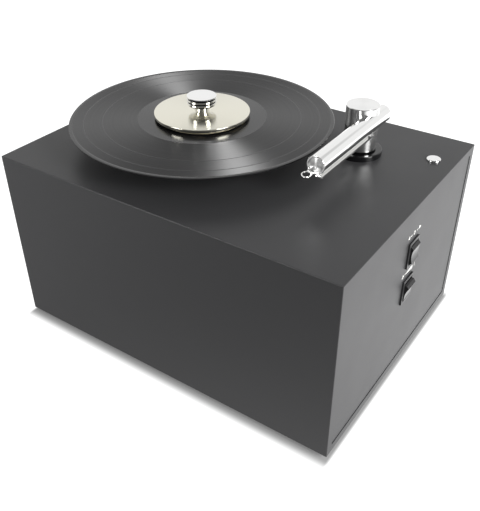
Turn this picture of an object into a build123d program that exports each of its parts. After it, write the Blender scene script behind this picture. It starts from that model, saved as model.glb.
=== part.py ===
from build123d import *
import os

os.makedirs("parts", exist_ok=True)

# Frame: +X to the right, +Y to the back, +Z up, millimetres.
# The origin lies on the floor, under the middle of the case.

# ---------------------------------------------------------------- case
case_width = 430
case_depth = 325
case_height = 218
foot_height = 5
board = 10
board_edge = 1.0            # rounding of the wrap's long edges
panel_recess = 0.6          # how far the side panels sit inside the wrap
panel_gap = 0.25            # shadow gap round each side panel
batten = 15
foot_radius = 14
foot_inset = 30

case_bottom = foot_height
top_z = foot_height + case_height
ceiling_z = top_z - board
floor_z = case_bottom + board
case_middle_z = (case_bottom + top_z) / 2
half_width = case_width / 2
half_depth = case_depth / 2
inner_half_depth = half_depth - board
panel_face_x = half_width - panel_recess
panel_inner_x = panel_face_x - board

wood_screw_radius = 1.75
wood_screw_head = 3.5
base_screw_xs = (-150, 0, 150)
base_screw_y = inner_half_depth - batten / 2
base_screw_length = 20

# ---------------------------------------------------------------- record and platter
spindle_x = -53.5
spindle_y = 0
record_radius = 150.8
record_hole_radius = 3.65
record_top = top_z + 29.0
record_thickness = 1.6      # at the label and at the rim bead
groove_thickness = 1.1
label_radius = 50
label_depth = 0.15
runout_radius = 57
bead_inner_radius = 147
spindle_radius = 3.6
spindle_top = top_z + 41
journal_radius = 5
mat_thickness = 2
platter_radius = 49
platter_thickness = 6
hub_radius = 12
hub_bottom = top_z + 13
record_bottom = record_top - record_thickness
platter_top = record_bottom - mat_thickness
platter_bottom = platter_top - platter_thickness

bearing_radius = 13
bearing_top = top_z + 10
bearing_bottom = top_z - 56
bearing_flange_radius = 28
bearing_flange_thickness = 3
bush_radius = 8
bush_length = 12
running_gap = 0.04

# ---------------------------------------------------------------- platter drive
bracket_z = 135
bracket_thickness = 3
gearbox_radius = 26
gearbox_height = 25
motor_can_radius = 18.5
motor_can_height = 54
motor_can_offset = 6
drive_shaft_radius = 4
drive_shaft_top = 155
coupling_radius = 10
coupling_bottom = 145
coupling_top = 165
standoff_radius = 4
standoff_spacing_x = 76
standoff_spacing_y = 58

# ---------------------------------------------------------------- clamp
clamp_radius = 54.8
clamp_bottom = top_z + 32.0
clamp_thickness = 3.4
clamp_top = clamp_bottom + clamp_thickness
seal_radius = 49
seal_width = 6
knob_radius = 16.9
knob_top = top_z + 53.6
knob_rib_bottom = top_z + 44.8
knob_foot_radius = 8.0
knob_neck = (9.8, 4.2)      # radius of the hollow neck, and its height above the foot
knob_neck_top = (14.6, top_z + 43.1)
knob_groove_depth = 1.5
knob_groove_width = 1.5
knob_groove_heights = (top_z + 47.7, top_z + 51.3)
knob_bore_radius = 3.75
knob_bore_top = top_z + 43

# ---------------------------------------------------------------- suction arm
tower_x = 113.0
tower_y = 70.0
tower_radius = 18.5
tower_bottom = top_z + 8
tower_top = top_z + 57.2
tower_chamber_radius = 12
bush_seat_radius = 13
spring_room_radius = 15
shoulder_z = top_z + 15
guide_bush_top = top_z + 27
chamber_top = top_z + 53
arm_x = 125.4
arm_z = top_z + 40.6
arm_radius = 10
arm_wall = 1.5
arm_rim = 0.4               # rounding of the tube's outer ends
arm_front_y = -55.5
arm_length = 151.5
cap_recess = 0.6
cap_length = 5
lip_half_width = 9.8
lip_bottom = top_z + 30.5
lip_thickness = 1.2
lip_front_y = -57.8
lip_back_y = 51.0
lip_gap = 3.2               # slot between the two lips
tube_slot_width = 2.4
tube_slot_front_y = -50
tube_slot_back_y = 45
velvet_thickness = 0.5
velvet_width = 7.2
velvet_margin = 8           # bare lip left at each end of a strip
suction_port_radius = 6

ring_centre = (118.7, -60.8)
ring_radii = (5.2, 6.5)
ring_hole_radii = (4.0, 5.1)
ring_turn = 24
ring_edge = 0.35

flange_radius = 25.7
flange_height = 6
flange_floor = 1.0
flange_spigot_radius = 14
flange_edge = 1.2
spring_collar_radii = (13.7, 14.5)
spring_collar_top = top_z + 11
riser_radius = 10
riser_bore_radius = 8
riser_bottom = top_z - 40
riser_top = guide_bush_top + 1.6
retaining_ring_radius = 11.6
retaining_ring_thickness = 1.2
spring_mean_radius = 12.6
spring_wire_radius = 0.7
spring_pitch = 3.0
washer_thickness = 1.0

machine_screw_radius = 1.5
machine_screw_head = 2.8
machine_screw_head_height = 1.8
pan_head_height = 1.4
pan_screw_length = 10
flange_screw_circle = 21.5
flange_screw_reach = 4      # how far each screw enters the arm's flange
bearing_screw_circle = 20.5
bearing_screw_length = 14
flange_screw_turn = 90      # where the first of three screws stands, in degrees

# ---------------------------------------------------------------- switches
switch_y = 1
switch_heights = (case_bottom + 160, case_bottom + 112)
switch_places = [(switch_y, z) for z in switch_heights]
bezel_width = 25.5
bezel_height = 31.5
bezel_thickness = 2.1
bezel_edge = 0.35
switch_body_width = 21.8
switch_body_height = 27.8
switch_body_depth = 22
switch_well_width = 19
switch_well_height = 25.8
switch_well_depth = 15
rocker_width = 18.4
rocker_half_height = 11.1   # at the bezel's face
rocker_tip_height = 8.4     # at the outer edge of each end
rocker_tip_reach = 8.25     # from the pivot's axis, at both ends
rocker_dip_reach = 6.9      # at the hollow in the middle
rocker_back = 3.2
rocker_tilt = 12.5          # degrees either side of the middle
pivot_depth = 5.3           # pivot axis behind the bezel's face
pivot_radius = 1.5
pivot_length = 20.6

# ---------------------------------------------------------------- tank and its ports
tank_x = (72, 200)
tank_y = (42, 128)
tank_top = 115
tank_wall = 3
tank_corner = 6
gasket_thickness = 2
lid_thickness = 4
lid_z = tank_top + gasket_thickness
port_top = lid_z + lid_thickness + 14
outlet_x = 150
outlet_y = 94
outlet_radius = 9
plug_x = 190.5
plug_y = 98.5
plug_radius = 7.9
plug_height = 2.2
plug_stem_radius = 4.2
plug_stem_length = 14
plug_ring_radius = 0.9
rinse_pipe_radius = 6.5
rinse_bore_radius = 5.3
drain_x = 150
drain_z = 45
drain_radius = 5
drain_bore_radius = 3.5
drain_hole_radius = 11
drain_cap_radius = 15
drain_cap_thickness = 3
drain_cap_sleeve = 10
drain_cap_wall = 2
drain_cap_gap = 0.3

# ---------------------------------------------------------------- vacuum turbine
turbine_x = 0
turbine_y = 94
turbine_radius = 52
turbine_bottom = 96
turbine_height = 40
turbine_wall = 4
inlet_nipple_top = 148
vacuum_motor_radius = 40
vacuum_motor_bottom = 31
seat_radius = 41
impeller_radius = 44
impeller_bottom = 104
impeller_height = 24
impeller_top = impeller_bottom + impeller_height
impeller_hub_radius = 8
impeller_blade_inner = 7
impeller_blade_thickness = 1.6
impeller_plate = 2
impeller_blades = 12
impeller_shaft_radius = 3
hose_wall = 2
hose_bend_radius = 45
hose_peak_z = 195
exhaust_z = 116
exhaust_radius = 12
exhaust_pipe_radius = 10
grille_size = 64
grille_thickness = 1.5
grille_screw_spacing = 54
grille_slot = (42, 3)
grille_slot_count = 7
grille_slot_pitch = 6

# ---------------------------------------------------------------- mains inlet
inlet_x = -140
inlet_z = 60
inlet_flange = (50, 24)
inlet_flange_thickness = 2.5
inlet_body = (27.5, 20)
inlet_cavity = (24.5, 16.5)
inlet_body_depth = 17
inlet_cavity_depth = 15.5
inlet_screw_x = 20
pin_size = (2, 4)
pin_length = 10.5
pin_places = ((-7, -1.5), (7, -1.5), (0, 2.5))

tower_plane = Plane((tower_x, tower_y, 0))
spindle_plane = Plane((spindle_x, spindle_y, 0))
plug_plane = Plane((plug_x, plug_y, 0))
turbine_plane = Plane((turbine_x, turbine_y, 0))
back_plane = Plane((0, half_depth, 0), x_dir=(1, 0, 0), z_dir=(0, -1, 0))
back_face = Plane((0, half_depth, 0), x_dir=(-1, 0, 0), z_dir=(0, 1, 0))
right_face = Plane((panel_face_x, 0, 0), x_dir=(0, 1, 0), z_dir=(1, 0, 0))
spindle_axis = Axis((spindle_x, spindle_y, 0), (0, 0, 1))
plug_axis = Axis((plug_x, plug_y, 0), (0, 0, 1))


def disc(plane, radius, low, high, mode=Mode.ADD):
    """A round bar about the plane's Z axis, from one height to another."""
    with BuildSketch(plane.offset(low)) as outline:
        Circle(radius)
    extrude(outline.sketch, amount=high - low, mode=mode)


def section_plane(x, y):
    """The upright plane through a vertical axis, whose sketch Y is the height above the floor."""
    return Plane((x, y, 0), x_dir=(1, 0, 0), z_dir=(0, -1, 0))


def wrap_slice(seams):
    """One board of the case's wrap: the part of the rounded frame between two mitre seams."""
    with BuildSketch(Plane.YZ.offset(-half_width)) as outline:
        with Locations((0, case_middle_z)):
            RectangleRounded(case_depth, case_height, board_edge)
            Rectangle(case_depth - 2 * board, case_height - 2 * board, mode=Mode.SUBTRACT)
        with BuildLine():
            Polyline(*seams, close=True)
        make_face(mode=Mode.INTERSECT)
    extrude(outline.sketch, amount=case_width)


# corners of the wrap's section, outside and inside
out_fb, out_ft = (-half_depth, case_bottom), (-half_depth, top_z)
out_bb, out_bt = (half_depth, case_bottom), (half_depth, top_z)
in_fb, in_ft = (-inner_half_depth, floor_z), (-inner_half_depth, ceiling_z)
in_bb, in_bt = (inner_half_depth, floor_z), (inner_half_depth, ceiling_z)

foot_places = [
    (sx * (half_width - foot_inset), sy * (half_depth - foot_inset)) for sx in (-1, 1) for sy in (-1, 1)
]
base_screw_places = [(x, sy * base_screw_y) for x in base_screw_xs for sy in (-1, 1)]

# ================================================================ case
with BuildPart() as top_panel:
    wrap_slice((out_ft, out_bt, in_bt, in_ft))
    fillet(top_panel.edges().filter_by(Axis.Y).group_by(Axis.Z)[-1], 0.8)
    disc(spindle_plane, bearing_radius + 0.1, ceiling_z, top_z, Mode.SUBTRACT)
    disc(tower_plane, flange_spigot_radius + 0.1, ceiling_z, top_z, Mode.SUBTRACT)
    disc(plug_plane, rinse_pipe_radius, ceiling_z, top_z - 2, Mode.SUBTRACT)
    disc(plug_plane, rinse_bore_radius, top_z - 2, top_z, Mode.SUBTRACT)
    with BuildSketch(tower_plane.offset(ceiling_z)):
        with PolarLocations(flange_screw_circle, 3, flange_screw_turn):
            Circle(machine_screw_radius + 0.1)
    extrude(amount=board, mode=Mode.SUBTRACT)
    with BuildSketch(spindle_plane.offset(ceiling_z)):
        with PolarLocations(bearing_screw_circle, 3, flange_screw_turn):
            Circle(machine_screw_radius + 0.1)
    extrude(amount=board, mode=Mode.SUBTRACT)
top_panel.part.label = "top_panel"
export_step(top_panel.part, "parts/top_panel.step")

with BuildPart() as front_panel:
    wrap_slice((out_fb, out_ft, in_ft, in_fb))
    fillet(front_panel.edges().filter_by(Axis.Z).group_by(Axis.Y)[0], 0.8)
front_panel.part.label = "front_panel"
export_step(front_panel.part, "parts/front_panel.step")

with BuildPart() as back_panel:
    wrap_slice((out_bb, out_bt, in_bt, in_bb))
    fillet(back_panel.edges().filter_by(Axis.Z).group_by(Axis.Y)[-1], 0.8)
    with BuildSketch(back_plane):
        with Locations((inlet_x, inlet_z)):
            Rectangle(inlet_body[0] + 0.4, inlet_body[1] + 0.4)
        with Locations((turbine_x, exhaust_z)):
            Circle(exhaust_radius)
        with Locations((drain_x, drain_z)):
            Circle(drain_hole_radius)
    extrude(amount=board, mode=Mode.SUBTRACT)
    with BuildSketch(back_plane):
        with Locations((inlet_x - inlet_screw_x, inlet_z), (inlet_x + inlet_screw_x, inlet_z)):
            Circle(machine_screw_radius + 0.05)
        with Locations((turbine_x, exhaust_z)):
            with GridLocations(grille_screw_spacing, grille_screw_spacing, 2, 2):
                Circle(machine_screw_radius + 0.05)
    extrude(amount=board - 1, mode=Mode.SUBTRACT)
back_panel.part.label = "back_panel"
export_step(back_panel.part, "parts/back_panel.step")

with BuildPart() as bottom_panel:
    wrap_slice((out_fb, out_bb, in_bb, in_fb))
    fillet(bottom_panel.edges().filter_by(Axis.Y).group_by(Axis.Z)[0], 0.8)
    with BuildSketch(Plane.XY.offset(case_bottom)):
        with Locations(*base_screw_places):
            Circle(wood_screw_radius + 0.05)
    extrude(amount=board, mode=Mode.SUBTRACT)
    with BuildSketch(Plane.XY.offset(case_bottom)):
        with Locations(*foot_places):
            Circle(wood_screw_radius + 0.05)
    extrude(amount=board - 1, mode=Mode.SUBTRACT)
    with BuildSketch(Plane.XY.offset(case_bottom)):
        with Locations(*base_screw_places):
            Circle(wood_screw_head + 0.1)
    extrude(amount=2.2, mode=Mode.SUBTRACT)
bottom_panel.part.label = "bottom_panel"
export_step(bottom_panel.part, "parts/bottom_panel.step")

panel_depth = 2 * (inner_half_depth - panel_gap)
panel_height = ceiling_z - floor_z - 2 * panel_gap

with BuildPart() as right_side_panel:
    with BuildSketch(right_face):
        with Locations((0, case_middle_z)):
            Rectangle(panel_depth, panel_height)
        with Locations(*switch_places):
            Rectangle(switch_body_width + 0.4, switch_body_height + 0.4, mode=Mode.SUBTRACT)
    extrude(amount=-board)
    chamfer(right_side_panel.faces().sort_by(Axis.X)[-1].outer_wire().edges(), 0.4)
right_side_panel.part.label = "right_side_panel"
export_step(right_side_panel.part, "parts/right_side_panel.step")

with BuildPart() as left_side_panel:
    with BuildSketch(Plane((-panel_face_x, 0, 0), x_dir=(0, 1, 0), z_dir=(1, 0, 0))):
        with Locations((0, case_middle_z)):
            Rectangle(panel_depth, panel_height)
    extrude(amount=board)
    chamfer(left_side_panel.faces().sort_by(Axis.X)[0].outer_wire().edges(), 0.4)
left_side_panel.part.label = "left_side_panel"
export_step(left_side_panel.part, "parts/left_side_panel.step")

# square sticks glued into the wrap's four inner corners
with BuildPart() as corner_battens:
    with BuildSketch(Plane.YZ.offset(-panel_inner_x)):
        with Locations((0, case_middle_z)):
            with GridLocations(2 * base_screw_y, ceiling_z - floor_z - batten, 2, 2):
                Rectangle(batten, batten)
    extrude(amount=2 * panel_inner_x)
    with BuildSketch(Plane.XY.offset(floor_z)):
        with Locations(*base_screw_places):
            Circle(wood_screw_radius + 0.05)
    extrude(amount=base_screw_length - board + 1, mode=Mode.SUBTRACT)
corner_battens.part.label = "corner_battens"
export_step(corner_battens.part, "parts/corner_battens.step")

with BuildPart() as feet:
    with BuildSketch(Plane.XY):
        with Locations(*foot_places):
            Circle(foot_radius)
    extrude(amount=foot_height, taper=-6)
    with BuildSketch(Plane.XY):
        with Locations(*foot_places):
            Circle(wood_screw_head + 0.2)
    extrude(amount=foot_height - 2, mode=Mode.SUBTRACT)
    with BuildSketch(Plane.XY):
        with Locations(*foot_places):
            Circle(wood_screw_radius + 0.05)
    extrude(amount=foot_height, mode=Mode.SUBTRACT)
feet.part.label = "feet"
export_step(feet.part, "parts/feet.step")


def wood_screws(places, head_low, head_thickness, tip):
    """Wood screws driven upwards, heads down, at the places given."""
    with BuildSketch(Plane.XY.offset(head_low)) as heads:
        with Locations(*places):
            Circle(wood_screw_head)
    extrude(heads.sketch, amount=head_thickness)
    with BuildSketch(Plane.XY.offset(head_low)) as shanks:
        with Locations(*places):
            Circle(wood_screw_radius)
    extrude(shanks.sketch, amount=tip - head_low)


with BuildPart() as base_screws:
    wood_screws(base_screw_places, case_bottom + 0.2, 2, case_bottom + base_screw_length)
    wood_screws(foot_places, foot_height - 4, 2, case_bottom + board - 2)
base_screws.part.label = "base_screws"
export_step(base_screws.part, "parts/base_screws.step")

# ================================================================ platter and its bearing
with BuildPart() as bearing_housing:
    disc(spindle_plane, bearing_radius, bearing_bottom, bearing_top)
    disc(spindle_plane, bearing_flange_radius, top_z, top_z + bearing_flange_thickness)
    disc(spindle_plane, bush_radius, bearing_bottom, bearing_top, Mode.SUBTRACT)
    with BuildSketch(spindle_plane.offset(top_z)):
        with PolarLocations(bearing_screw_circle, 3, flange_screw_turn):
            Circle(machine_screw_radius + 0.1)
    extrude(amount=bearing_flange_thickness, mode=Mode.SUBTRACT)
bearing_housing.part.label = "bearing_housing"
export_step(bearing_housing.part, "parts/bearing_housing.step")

with BuildPart() as bearing_bushes:
    for bush_low in (bearing_bottom, bearing_top - bush_length):
        disc(spindle_plane, bush_radius, bush_low, bush_low + bush_length)
        disc(spindle_plane, journal_radius + running_gap, bush_low, bush_low + bush_length, Mode.SUBTRACT)
bearing_bushes.part.label = "bearing_bushes"
export_step(bearing_bushes.part, "parts/bearing_bushes.step")

# a stepped shaft: coupling end, journal and the slim top that centres the record
with BuildPart() as spindle:
    disc(spindle_plane, drive_shaft_radius, drive_shaft_top + 1, bearing_bottom)
    disc(spindle_plane, journal_radius, bearing_bottom, platter_bottom)
    disc(spindle_plane, spindle_radius, platter_bottom, spindle_top)
    chamfer(spindle.faces().sort_by(Axis.Z)[-1].edges(), 1.2)
spindle.part.label = "spindle"
export_step(spindle.part, "parts/spindle.step")

# label-sized disc with a hub below, bored for the spindle's two diameters
with BuildPart() as platter_disc:
    disc(spindle_plane, hub_radius, hub_bottom, platter_bottom)
    disc(spindle_plane, platter_radius, platter_bottom, platter_top)
    disc(spindle_plane, journal_radius, hub_bottom, platter_bottom, Mode.SUBTRACT)
    disc(spindle_plane, spindle_radius, platter_bottom, platter_top, Mode.SUBTRACT)
platter_disc.part.label = "platter_disc"
export_step(platter_disc.part, "parts/platter_disc.step")

with BuildPart() as platter_mat:
    disc(spindle_plane, platter_radius - 1, platter_top, record_bottom)
    disc(spindle_plane, spindle_radius + 1, platter_top, record_bottom, Mode.SUBTRACT)
platter_mat.part.label = "platter_mat"
export_step(platter_mat.part, "parts/platter_mat.step")

with BuildPart() as shaft_coupling:
    disc(spindle_plane, coupling_radius, coupling_bottom, coupling_top)
    disc(spindle_plane, drive_shaft_radius, coupling_bottom, coupling_top, Mode.SUBTRACT)
shaft_coupling.part.label = "shaft_coupling"
export_step(shaft_coupling.part, "parts/shaft_coupling.step")

# ================================================================ platter drive
with BuildPart() as gearbox_shaft:
    disc(spindle_plane, drive_shaft_radius, bracket_z - 15, drive_shaft_top)
gearbox_shaft.part.label = "gearbox_shaft"
export_step(gearbox_shaft.part, "parts/gearbox_shaft.step")

with BuildPart() as gearbox_housing:
    disc(spindle_plane, gearbox_radius, bracket_z - gearbox_height, bracket_z)
    fillet(gearbox_housing.faces().sort_by(Axis.Z)[0].edges(), 1.5)
    disc(spindle_plane, drive_shaft_radius + running_gap, bracket_z - 16, bracket_z, Mode.SUBTRACT)
gearbox_housing.part.label = "gearbox_housing"
export_step(gearbox_housing.part, "parts/gearbox_housing.step")

motor_can_plane = Plane((spindle_x + motor_can_offset, spindle_y, 0))
gearbox_low = bracket_z - gearbox_height
with BuildPart() as gearmotor_can:
    disc(motor_can_plane, motor_can_radius, gearbox_low - motor_can_height, gearbox_low)
    fillet(gearmotor_can.faces().sort_by(Axis.Z)[0].edges(), 2)
gearmotor_can.part.label = "gearmotor_can"
export_step(gearmotor_can.part, "parts/gearmotor_can.step")

with BuildPart() as gearmotor_bracket:
    with BuildSketch(spindle_plane.offset(bracket_z)):
        RectangleRounded(standoff_spacing_x + 14, standoff_spacing_y + 14, 6)
        Circle(drive_shaft_radius + 2, mode=Mode.SUBTRACT)
    extrude(amount=bracket_thickness)
gearmotor_bracket.part.label = "gearmotor_bracket"
export_step(gearmotor_bracket.part, "parts/gearmotor_bracket.step")

with BuildPart() as bracket_standoffs:
    with BuildSketch(spindle_plane.offset(bracket_z + bracket_thickness)):
        with GridLocations(standoff_spacing_x, standoff_spacing_y, 2, 2):
            RegularPolygon(standoff_radius, 6)
    extrude(amount=ceiling_z - bracket_z - bracket_thickness)
bracket_standoffs.part.label = "bracket_standoffs"
export_step(bracket_standoffs.part, "parts/bracket_standoffs.step")

# ================================================================ record
groove_drop = (record_thickness - groove_thickness) / 2
with BuildPart() as record:
    with BuildSketch(section_plane(spindle_x, spindle_y)):
        with BuildLine():
            Polyline(
                (record_hole_radius, record_bottom),
                (runout_radius - 3, record_bottom),
                (runout_radius, record_bottom + groove_drop),
                (bead_inner_radius - 1.5, record_bottom + groove_drop),
                (bead_inner_radius, record_bottom),
                (record_radius - 0.5, record_bottom),
            )
            ThreePointArc(
                (record_radius - 0.5, record_bottom),
                (record_radius, record_bottom + record_thickness / 2),
                (record_radius - 0.5, record_top),
            )
            Polyline(
                (record_radius - 0.5, record_top),
                (bead_inner_radius, record_top),
                (bead_inner_radius - 1.5, record_top - groove_drop),
                (runout_radius, record_top - groove_drop),
                (runout_radius - 3, record_top),
                (record_hole_radius, record_top),
                (record_hole_radius, record_bottom),
            )
        make_face()
    revolve(axis=spindle_axis)
    # shallow seats that the paper labels are pressed into
    disc(spindle_plane, label_radius, record_top - label_depth, record_top, Mode.SUBTRACT)
    disc(spindle_plane, label_radius, record_bottom, record_bottom + label_depth, Mode.SUBTRACT)
record.part.label = "record"
export_step(record.part, "parts/record.step")

with BuildPart() as record_labels:
    for label_low in (record_bottom, record_top - label_depth):
        disc(spindle_plane, label_radius, label_low, label_low + label_depth)
        disc(spindle_plane, record_hole_radius, label_low, label_low + label_depth, Mode.SUBTRACT)
record_labels.part.label = "record_labels"
export_step(record_labels.part, "parts/record_labels.step")

# ================================================================ clamp
with BuildPart() as clamp_disc:
    disc(spindle_plane, clamp_radius, clamp_bottom, clamp_top)
    disc(spindle_plane, knob_bore_radius, clamp_bottom, clamp_top, Mode.SUBTRACT)
    fillet(clamp_disc.edges().filter_by(GeomType.CIRCLE).group_by(SortBy.RADIUS)[-1], 0.4)
clamp_disc.part.label = "clamp_disc"
export_step(clamp_disc.part, "parts/clamp_disc.step")

with BuildPart() as clamp_seal:
    disc(spindle_plane, seal_radius, record_top, clamp_bottom)
    disc(spindle_plane, seal_radius - seal_width, record_top, clamp_bottom, Mode.SUBTRACT)
clamp_seal.part.label = "clamp_seal"
export_step(clamp_seal.part, "parts/clamp_seal.step")

# waisted knob: hollow neck, step, and a ribbed head with two turned grooves
knob_groove_floor = knob_radius - knob_groove_depth
with BuildPart() as clamp_knob:
    with BuildSketch(section_plane(spindle_x, spindle_y)):
        with BuildLine():
            Line((0, clamp_top), (knob_foot_radius, clamp_top))
            ThreePointArc(
                (knob_foot_radius, clamp_top),
                (knob_neck[0], clamp_top + knob_neck[1]),
                knob_neck_top,
            )
            Polyline(
                knob_neck_top,
                (knob_groove_floor, knob_neck_top[1]),
                (knob_groove_floor, knob_rib_bottom),
                (knob_radius, knob_rib_bottom),
                (knob_radius, knob_top),
                (0, knob_top),
                (0, clamp_top),
            )
        make_face()
    revolve(axis=spindle_axis)
    for groove_middle in knob_groove_heights:
        low, high = groove_middle - knob_groove_width / 2, groove_middle + knob_groove_width / 2
        with BuildSketch(spindle_plane.offset(low)):
            Circle(knob_radius + 1)
            Circle(knob_groove_floor, mode=Mode.SUBTRACT)
        extrude(amount=high - low, mode=Mode.SUBTRACT)
    fillet(clamp_knob.faces().sort_by(Axis.Z)[-1].edges(), 0.5)
    disc(spindle_plane, knob_bore_radius, clamp_top, knob_bore_top, Mode.SUBTRACT)
clamp_knob.part.label = "clamp_knob"
export_step(clamp_knob.part, "parts/clamp_knob.step")

# ================================================================ suction arm
with BuildPart() as base_flange:
    disc(tower_plane, flange_radius, top_z, top_z + flange_height)
    fillet(base_flange.faces().sort_by(Axis.Z)[-1].edges(), flange_edge)
    disc(tower_plane, flange_spigot_radius, ceiling_z - 2, top_z)
    # a pocket for the return spring, and a collar round it that reaches up into the tower
    disc(tower_plane, spring_collar_radii[1], top_z + flange_height, spring_collar_top)
    disc(tower_plane, spring_collar_radii[0], top_z + flange_floor, spring_collar_top, Mode.SUBTRACT)
    disc(tower_plane, riser_radius, ceiling_z - 2, top_z + flange_floor, Mode.SUBTRACT)
    with BuildSketch(tower_plane.offset(top_z)):
        with PolarLocations(flange_screw_circle, 3, flange_screw_turn):
            Circle(machine_screw_radius + 0.05)
    extrude(amount=flange_screw_reach + 0.5, mode=Mode.SUBTRACT)
base_flange.part.label = "base_flange"
export_step(base_flange.part, "parts/base_flange.step")

# fixed pipe that the arm turns and dips on, and that carries the suction down
with BuildPart() as riser_pipe:
    disc(tower_plane, riser_radius, riser_bottom, riser_top)
    disc(tower_plane, riser_bore_radius, riser_bottom, riser_top, Mode.SUBTRACT)
riser_pipe.part.label = "riser_pipe"
export_step(riser_pipe.part, "parts/riser_pipe.step")

with BuildPart() as riser_retaining_ring:
    with BuildSketch(tower_plane.offset(guide_bush_top + 0.02)):
        Circle(retaining_ring_radius)
        Circle(riser_radius, mode=Mode.SUBTRACT)
        with Locations((0, -retaining_ring_radius)):
            Rectangle(4, 5, mode=Mode.SUBTRACT)
    extrude(amount=retaining_ring_thickness)
riser_retaining_ring.part.label = "riser_retaining_ring"
export_step(riser_retaining_ring.part, "parts/riser_retaining_ring.step")

with BuildPart() as arm_guide_bush:
    disc(tower_plane, bush_seat_radius, shoulder_z, guide_bush_top)
    disc(tower_plane, riser_radius + running_gap, shoulder_z, guide_bush_top, Mode.SUBTRACT)
arm_guide_bush.part.label = "arm_guide_bush"
export_step(arm_guide_bush.part, "parts/arm_guide_bush.step")

with BuildPart() as spring_thrust_washer:
    disc(tower_plane, spring_room_radius - 0.3, shoulder_z - washer_thickness, shoulder_z)
    disc(tower_plane, riser_radius + 0.4, shoulder_z - washer_thickness, shoulder_z, Mode.SUBTRACT)
spring_thrust_washer.part.label = "spring_thrust_washer"
export_step(spring_thrust_washer.part, "parts/spring_thrust_washer.step")

spring_low = top_z + flange_floor + spring_wire_radius + 0.1
spring_high = shoulder_z - washer_thickness - spring_wire_radius - 0.1
with BuildPart() as arm_return_spring:
    with BuildLine(tower_plane.offset(spring_low)):
        spring_path = Helix(spring_pitch, spring_high - spring_low, spring_mean_radius)
    with BuildSketch(Plane(spring_path @ 0, z_dir=spring_path % 0)):
        Circle(spring_wire_radius)
    sweep(is_frenet=True)
arm_return_spring.part.label = "arm_return_spring"
export_step(arm_return_spring.part, "parts/arm_return_spring.step")

arm_front = Plane((arm_x, arm_front_y, arm_z), x_dir=(-1, 0, 0), z_dir=(0, 1, 0))

# upright pillar: closed top, spring room and bush seat bored from below, cross bore for the tube
with BuildPart() as arm_tower:
    disc(tower_plane, tower_radius, tower_bottom, tower_top)
    chamfer(arm_tower.faces().sort_by(Axis.Z)[-1].edges(), 0.6)
    disc(tower_plane, spring_room_radius, tower_bottom, shoulder_z, Mode.SUBTRACT)
    disc(tower_plane, bush_seat_radius, shoulder_z, guide_bush_top, Mode.SUBTRACT)
    disc(tower_plane, tower_chamber_radius, guide_bush_top, chamber_top, Mode.SUBTRACT)
    with BuildSketch(arm_front):
        Circle(arm_radius)
    extrude(amount=arm_length, mode=Mode.SUBTRACT)
arm_tower.part.label = "arm_tower"
export_step(arm_tower.part, "parts/arm_tower.step")

with BuildPart() as arm_tube:
    with BuildSketch(arm_front):
        Circle(arm_radius)
        Circle(arm_radius - arm_wall, mode=Mode.SUBTRACT)
    extrude(amount=arm_length)
    fillet(arm_tube.edges().filter_by(GeomType.CIRCLE).group_by(SortBy.RADIUS)[-1], arm_rim)
    # suction slot along the underside
    with BuildSketch(Plane((arm_x, 0, arm_z - arm_radius - 1))):
        with Locations((0, (tube_slot_front_y + tube_slot_back_y) / 2)):
            SlotOverall(tube_slot_back_y - tube_slot_front_y, tube_slot_width, rotation=90)
    extrude(amount=5, mode=Mode.SUBTRACT)
    # port in the wall that faces the tower's chamber
    with BuildSketch(Plane((arm_x - arm_radius - 1, tower_y, arm_z), x_dir=(0, 1, 0), z_dir=(1, 0, 0))):
        Circle(suction_port_radius)
    extrude(amount=8, mode=Mode.SUBTRACT)
arm_tube.part.label = "arm_tube"
export_step(arm_tube.part, "parts/arm_tube.step")

with BuildPart() as arm_end_caps:
    for cap_start in (cap_recess, arm_length - cap_recess - cap_length):
        with BuildSketch(arm_front.offset(cap_start)):
            Circle(arm_radius - arm_wall)
        extrude(amount=cap_length)
    # each outer face is turned to a shallow dish
    for face_y, sink in ((arm_front_y + cap_recess, 1), (arm_front_y + arm_length - cap_recess, -1)):
        with BuildSketch(Plane((arm_x, face_y, arm_z), x_dir=(1, 0, 0), z_dir=(0, 0, 1))):
            with BuildLine():
                Polyline((0, 0), (arm_radius - arm_wall - 0.8, 0), (0, sink * 0.9), close=True)
            make_face()
        revolve(axis=Axis((arm_x, face_y, arm_z), (0, 1, 0)), mode=Mode.SUBTRACT)
arm_end_caps.part.label = "arm_end_caps"
export_step(arm_end_caps.part, "parts/arm_end_caps.step")

# two flat lips, one each side of the slot, hollowed to sit against the tube
with BuildPart() as suction_lips:
    with BuildSketch(Plane((arm_x, lip_front_y, 0), x_dir=(1, 0, 0), z_dir=(0, -1, 0))):
        with Locations((0, lip_bottom + lip_thickness / 2)):
            Rectangle(2 * lip_half_width, lip_thickness)
            Rectangle(lip_gap, lip_thickness, mode=Mode.SUBTRACT)
        with Locations((0, arm_z)):
            Circle(arm_radius, mode=Mode.SUBTRACT)
    extrude(amount=lip_front_y - lip_back_y)
    # seat for the finger ring at the front of the left lip
    with BuildSketch(Plane((ring_centre[0], ring_centre[1], lip_bottom - 1))):
        Ellipse(ring_radii[0], ring_radii[1], rotation=ring_turn)
    extrude(amount=lip_thickness + 2, mode=Mode.SUBTRACT)
suction_lips.part.label = "suction_lips"
export_step(suction_lips.part, "parts/suction_lips.step")

with BuildPart() as finger_ring:
    with BuildSketch(Plane((ring_centre[0], ring_centre[1], lip_bottom))):
        Ellipse(ring_radii[0], ring_radii[1], rotation=ring_turn)
        Ellipse(ring_hole_radii[0], ring_hole_radii[1], rotation=ring_turn, mode=Mode.SUBTRACT)
    extrude(amount=lip_thickness)
    fillet(finger_ring.faces().sort_by(Axis.Z)[-1].edges(), ring_edge)
    with BuildSketch(arm_front):
        Circle(arm_radius)
    extrude(amount=arm_length, mode=Mode.SUBTRACT)
finger_ring.part.label = "finger_ring"
export_step(finger_ring.part, "parts/finger_ring.step")

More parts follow.
